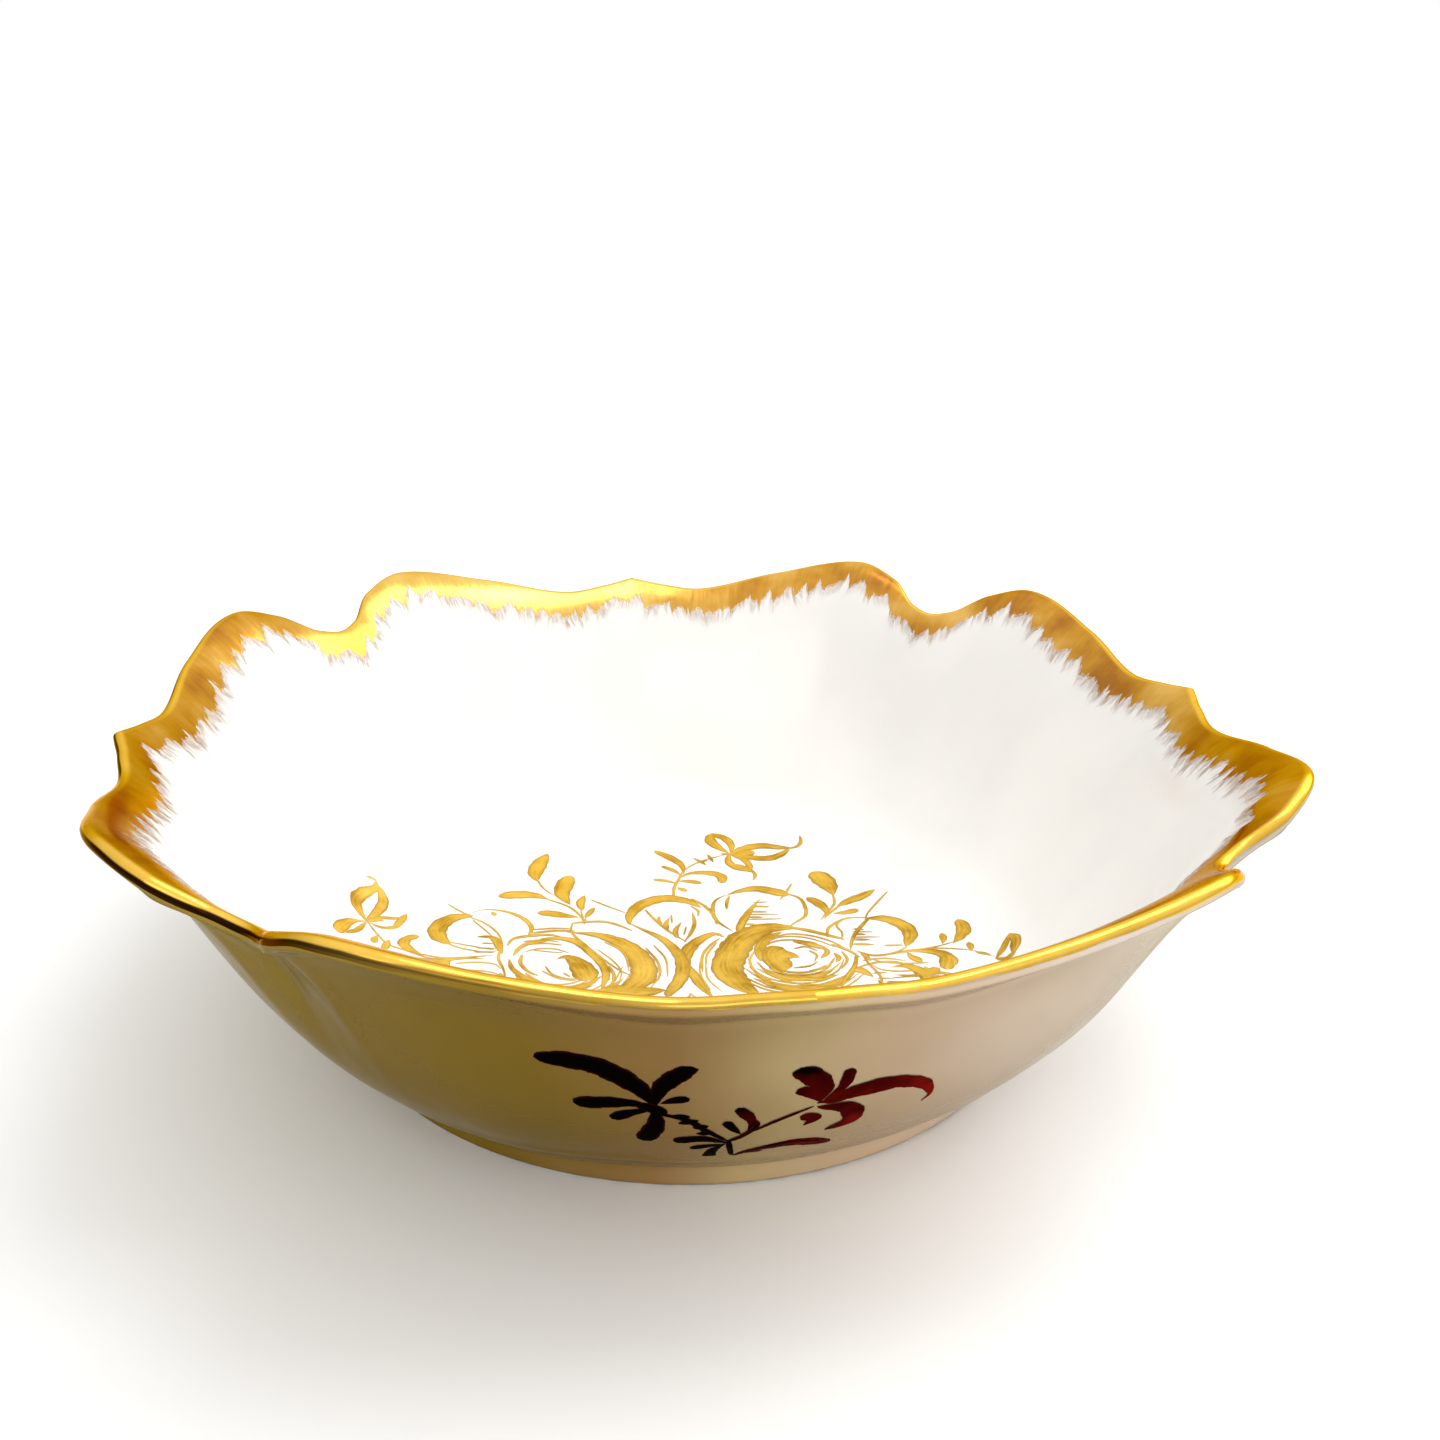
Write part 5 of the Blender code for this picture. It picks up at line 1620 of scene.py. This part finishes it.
@dataclass(frozen=True)
class Studio:
    """Pale floor, soft lights and the camera."""

    boxes: tuple[SoftBox, ...] = (
        SoftBox("key_right", (0.85, 0.25, 0.70), (0, 0, 0.03), (0.8, 0.8), 3.4, (1.0, 0.97, 0.93)),
        SoftBox("top_box", (0.32, 0.0, 1.15), (0, 0.05, 0.03), (0.50, 0.55), 2.6),
        SoftBox("front_high", (-0.45, -1.2, 1.1), (0, 0.1, 0.05), (1.1, 0.6), 2.6),
    )
    camera_place: Place = (-0.0433, -0.2840, 0.1693)
    heading: float = 79.96
    pitch: float = 19.95
    roll: float = 1.03
    lens: float = 33.73
    sensor: float = 36.0
    near: float = 0.01
    floor_half: float = 4000.0
    floor_tones: tuple[Colour, Colour] = ((0.955, 0.955, 0.95), (0.97, 0.97, 0.965))
    dome: Range = (0.72, 1.22)
    dome_rise: Range = (-0.05, 0.95)
    dome_lean: float = 0.22

    def floor(self) -> None:
        """A wide pale floor with the faintest mottle."""
        sheet = NodeSheet("studio_floor")
        mottle = sheet.noise(sheet.coords(), 6.0, 2.0)
        sheet.feed("Base Color", sheet.ramp(mottle, list(zip(NOISE_BAND, self.floor_tones))))
        sheet.set(Roughness=0.7)
        half = self.floor_half
        corners = np.array([(-half, -half, 0), (half, -half, 0), (half, half, 0), (-half, half, 0)])
        make_mesh("studio_floor", corners, [(0, 1, 2, 3)], [sheet.material])

    def sky(self) -> None:
        """A soft dome: brighter overhead and to the right, plain white behind the stage."""
        world = bpy.data.worlds.new("studio_world")
        world.use_nodes = True
        tree = world.node_tree
        tree.nodes.clear()

        def add(kind: str, feeds: dict | None = None, **settings: str) -> bpy.types.NodeOutputs:
            """Adds a node to the world and gives its outputs."""
            return add_node(tree, kind, feeds, **settings).outputs

        way = add("ShaderNodeTexCoord")["Generated"]
        split = add("ShaderNodeSeparateXYZ", {0: way})
        feeds = {"Value": split["Z"], "From Min": self.dome_rise[0], "From Max": self.dome_rise[1]}
        feeds |= {"To Min": self.dome[0], "To Max": self.dome[1]}
        rise = add("ShaderNodeMapRange", feeds, interpolation_type="SMOOTHSTEP")["Result"]
        feeds = {"Value": split["X"], "From Min": -1.0}
        feeds |= {"To Min": 1.0 - self.dome_lean, "To Max": 1.0 + self.dome_lean}
        lean = add("ShaderNodeMapRange", feeds)["Result"]
        strength = add("ShaderNodeMath", {0: rise, 1: lean}, operation="MULTIPLY")[0]
        white = (1.0, 1.0, 1.0, 1.0)
        dome = add("ShaderNodeBackground", {"Color": white, "Strength": strength})[0]
        plain = add("ShaderNodeBackground", {"Color": white})[0]
        seen = add("ShaderNodeLightPath")["Is Camera Ray"]
        both = add("ShaderNodeMixShader", {0: seen, 1: dome, 2: plain})[0]
        add("ShaderNodeOutputWorld", {"Surface": both})
        bpy.context.scene.world = world

    def camera(self) -> None:
        """Sets the camera with its heading, pitch and roll."""
        data = bpy.data.cameras.new("studio_camera")
        data.lens, data.sensor_width, data.clip_start = self.lens, self.sensor, self.near
        made = link_up("studio_camera", data)
        turn = (
            Matrix.Rotation(math.radians(self.heading - 90.0), 4, "Z")
            @ Matrix.Rotation(math.radians(90.0 - self.pitch), 4, "X")
            @ Matrix.Rotation(math.radians(self.roll), 4, "Z")
        )
        made.matrix_world = Matrix.Translation(self.camera_place) @ turn
        bpy.context.scene.camera = made

    def build(self) -> None:
        """Sets the whole stage."""
        self.floor()
        self.sky()
        for box in self.boxes:
            box.hang()
        self.camera()
        bpy.context.scene.view_settings.view_transform = "Standard"


# ====================================================================================== main
# Touches of the bouquet that have no CAD node of their own.
LOOSE_TOUCHES = ("petal_left", "near_petal_left", "bud_right")
PETAL_PAIR = ("centre_petal_left", "centre_petal_right")


def stands_for(name: str) -> tuple[str, ...]:
    """The CAD nodes that a painted piece replaces."""
    if name in LOOSE_TOUCHES:
        return ()
    return PETAL_PAIR if name == "centre_petals" else (name,)


def keep(piece: bpy.types.Object, slot: str, nodes: tuple[str, ...] = ()) -> None:
    """Says what a piece rides on, what it is finished in and which nodes it stands for.

    Args:
        piece: The finished piece.
        slot: The record's material slot.
        nodes: The CAD nodes that it replaces, if any.
    """
    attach(piece, "root")
    if nodes:
        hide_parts(*nodes)
    LOG.info("%s: %d faces, slot %s", piece.name, len(piece.data.polygons), slot)


def main() -> None:
    """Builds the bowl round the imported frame."""
    logging.basicConfig(level=logging.INFO, format="%(name)s: %(message)s")
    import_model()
    form = BowlForm()
    white, taupe, bare = WhiteGlaze().build(), ShadedTaupeGlaze().build(), BareFoot().build()
    # The foot takes the same painted shade glaze, lightened by a gain of 1.3.
    foot_lighter_shaded_glaze = ShadedTaupeGlaze(name="foot_lighter_shaded_glaze", gain=1.3).build()
    rim_gold = BrushedGold().build()
    paint = BrushedGold(
        name="painted_gold",
        deep=(0.48, 0.27, 0.035),
        mid=(0.76, 0.49, 0.09),
        bright=(0.93, 0.63, 0.13),
        streaks=(0.12, 1.5),
        lip_zone=False,
        pool_scale=130.0,
        outline=0.7,
        outline_and_hem_shade=(0.36, 0.20, 0.07),
        streak_share=0.4,
        roughness=(0.28, 0.42),
    ).build()
    keep(PorcelainBody(form).build(white, taupe), "porcelain_glaze", ("bowl_shell",))
    keep(Foot().build(foot_lighter_shaded_glaze, bare), "foot_porcelain", ("foot_ring",))
    band = RimGilding(form)
    keep(band.build(rim_gold), "rim_gold", ("rim_gilt_band",))
    keep(RimFringe(form, band).build(DryGold().build()), "rim_gold")
    for name, piece in Bouquet(form).build(paint).items():
        keep(piece, "painted_gold", stands_for(name))
    for name, piece in Sprigs(form).build(GiltPaintedDarkReflection().build()).items():
        keep(piece, "sprig_gilt", stands_for(name))
    Studio().build()


if __name__ == "__main__":
    main()
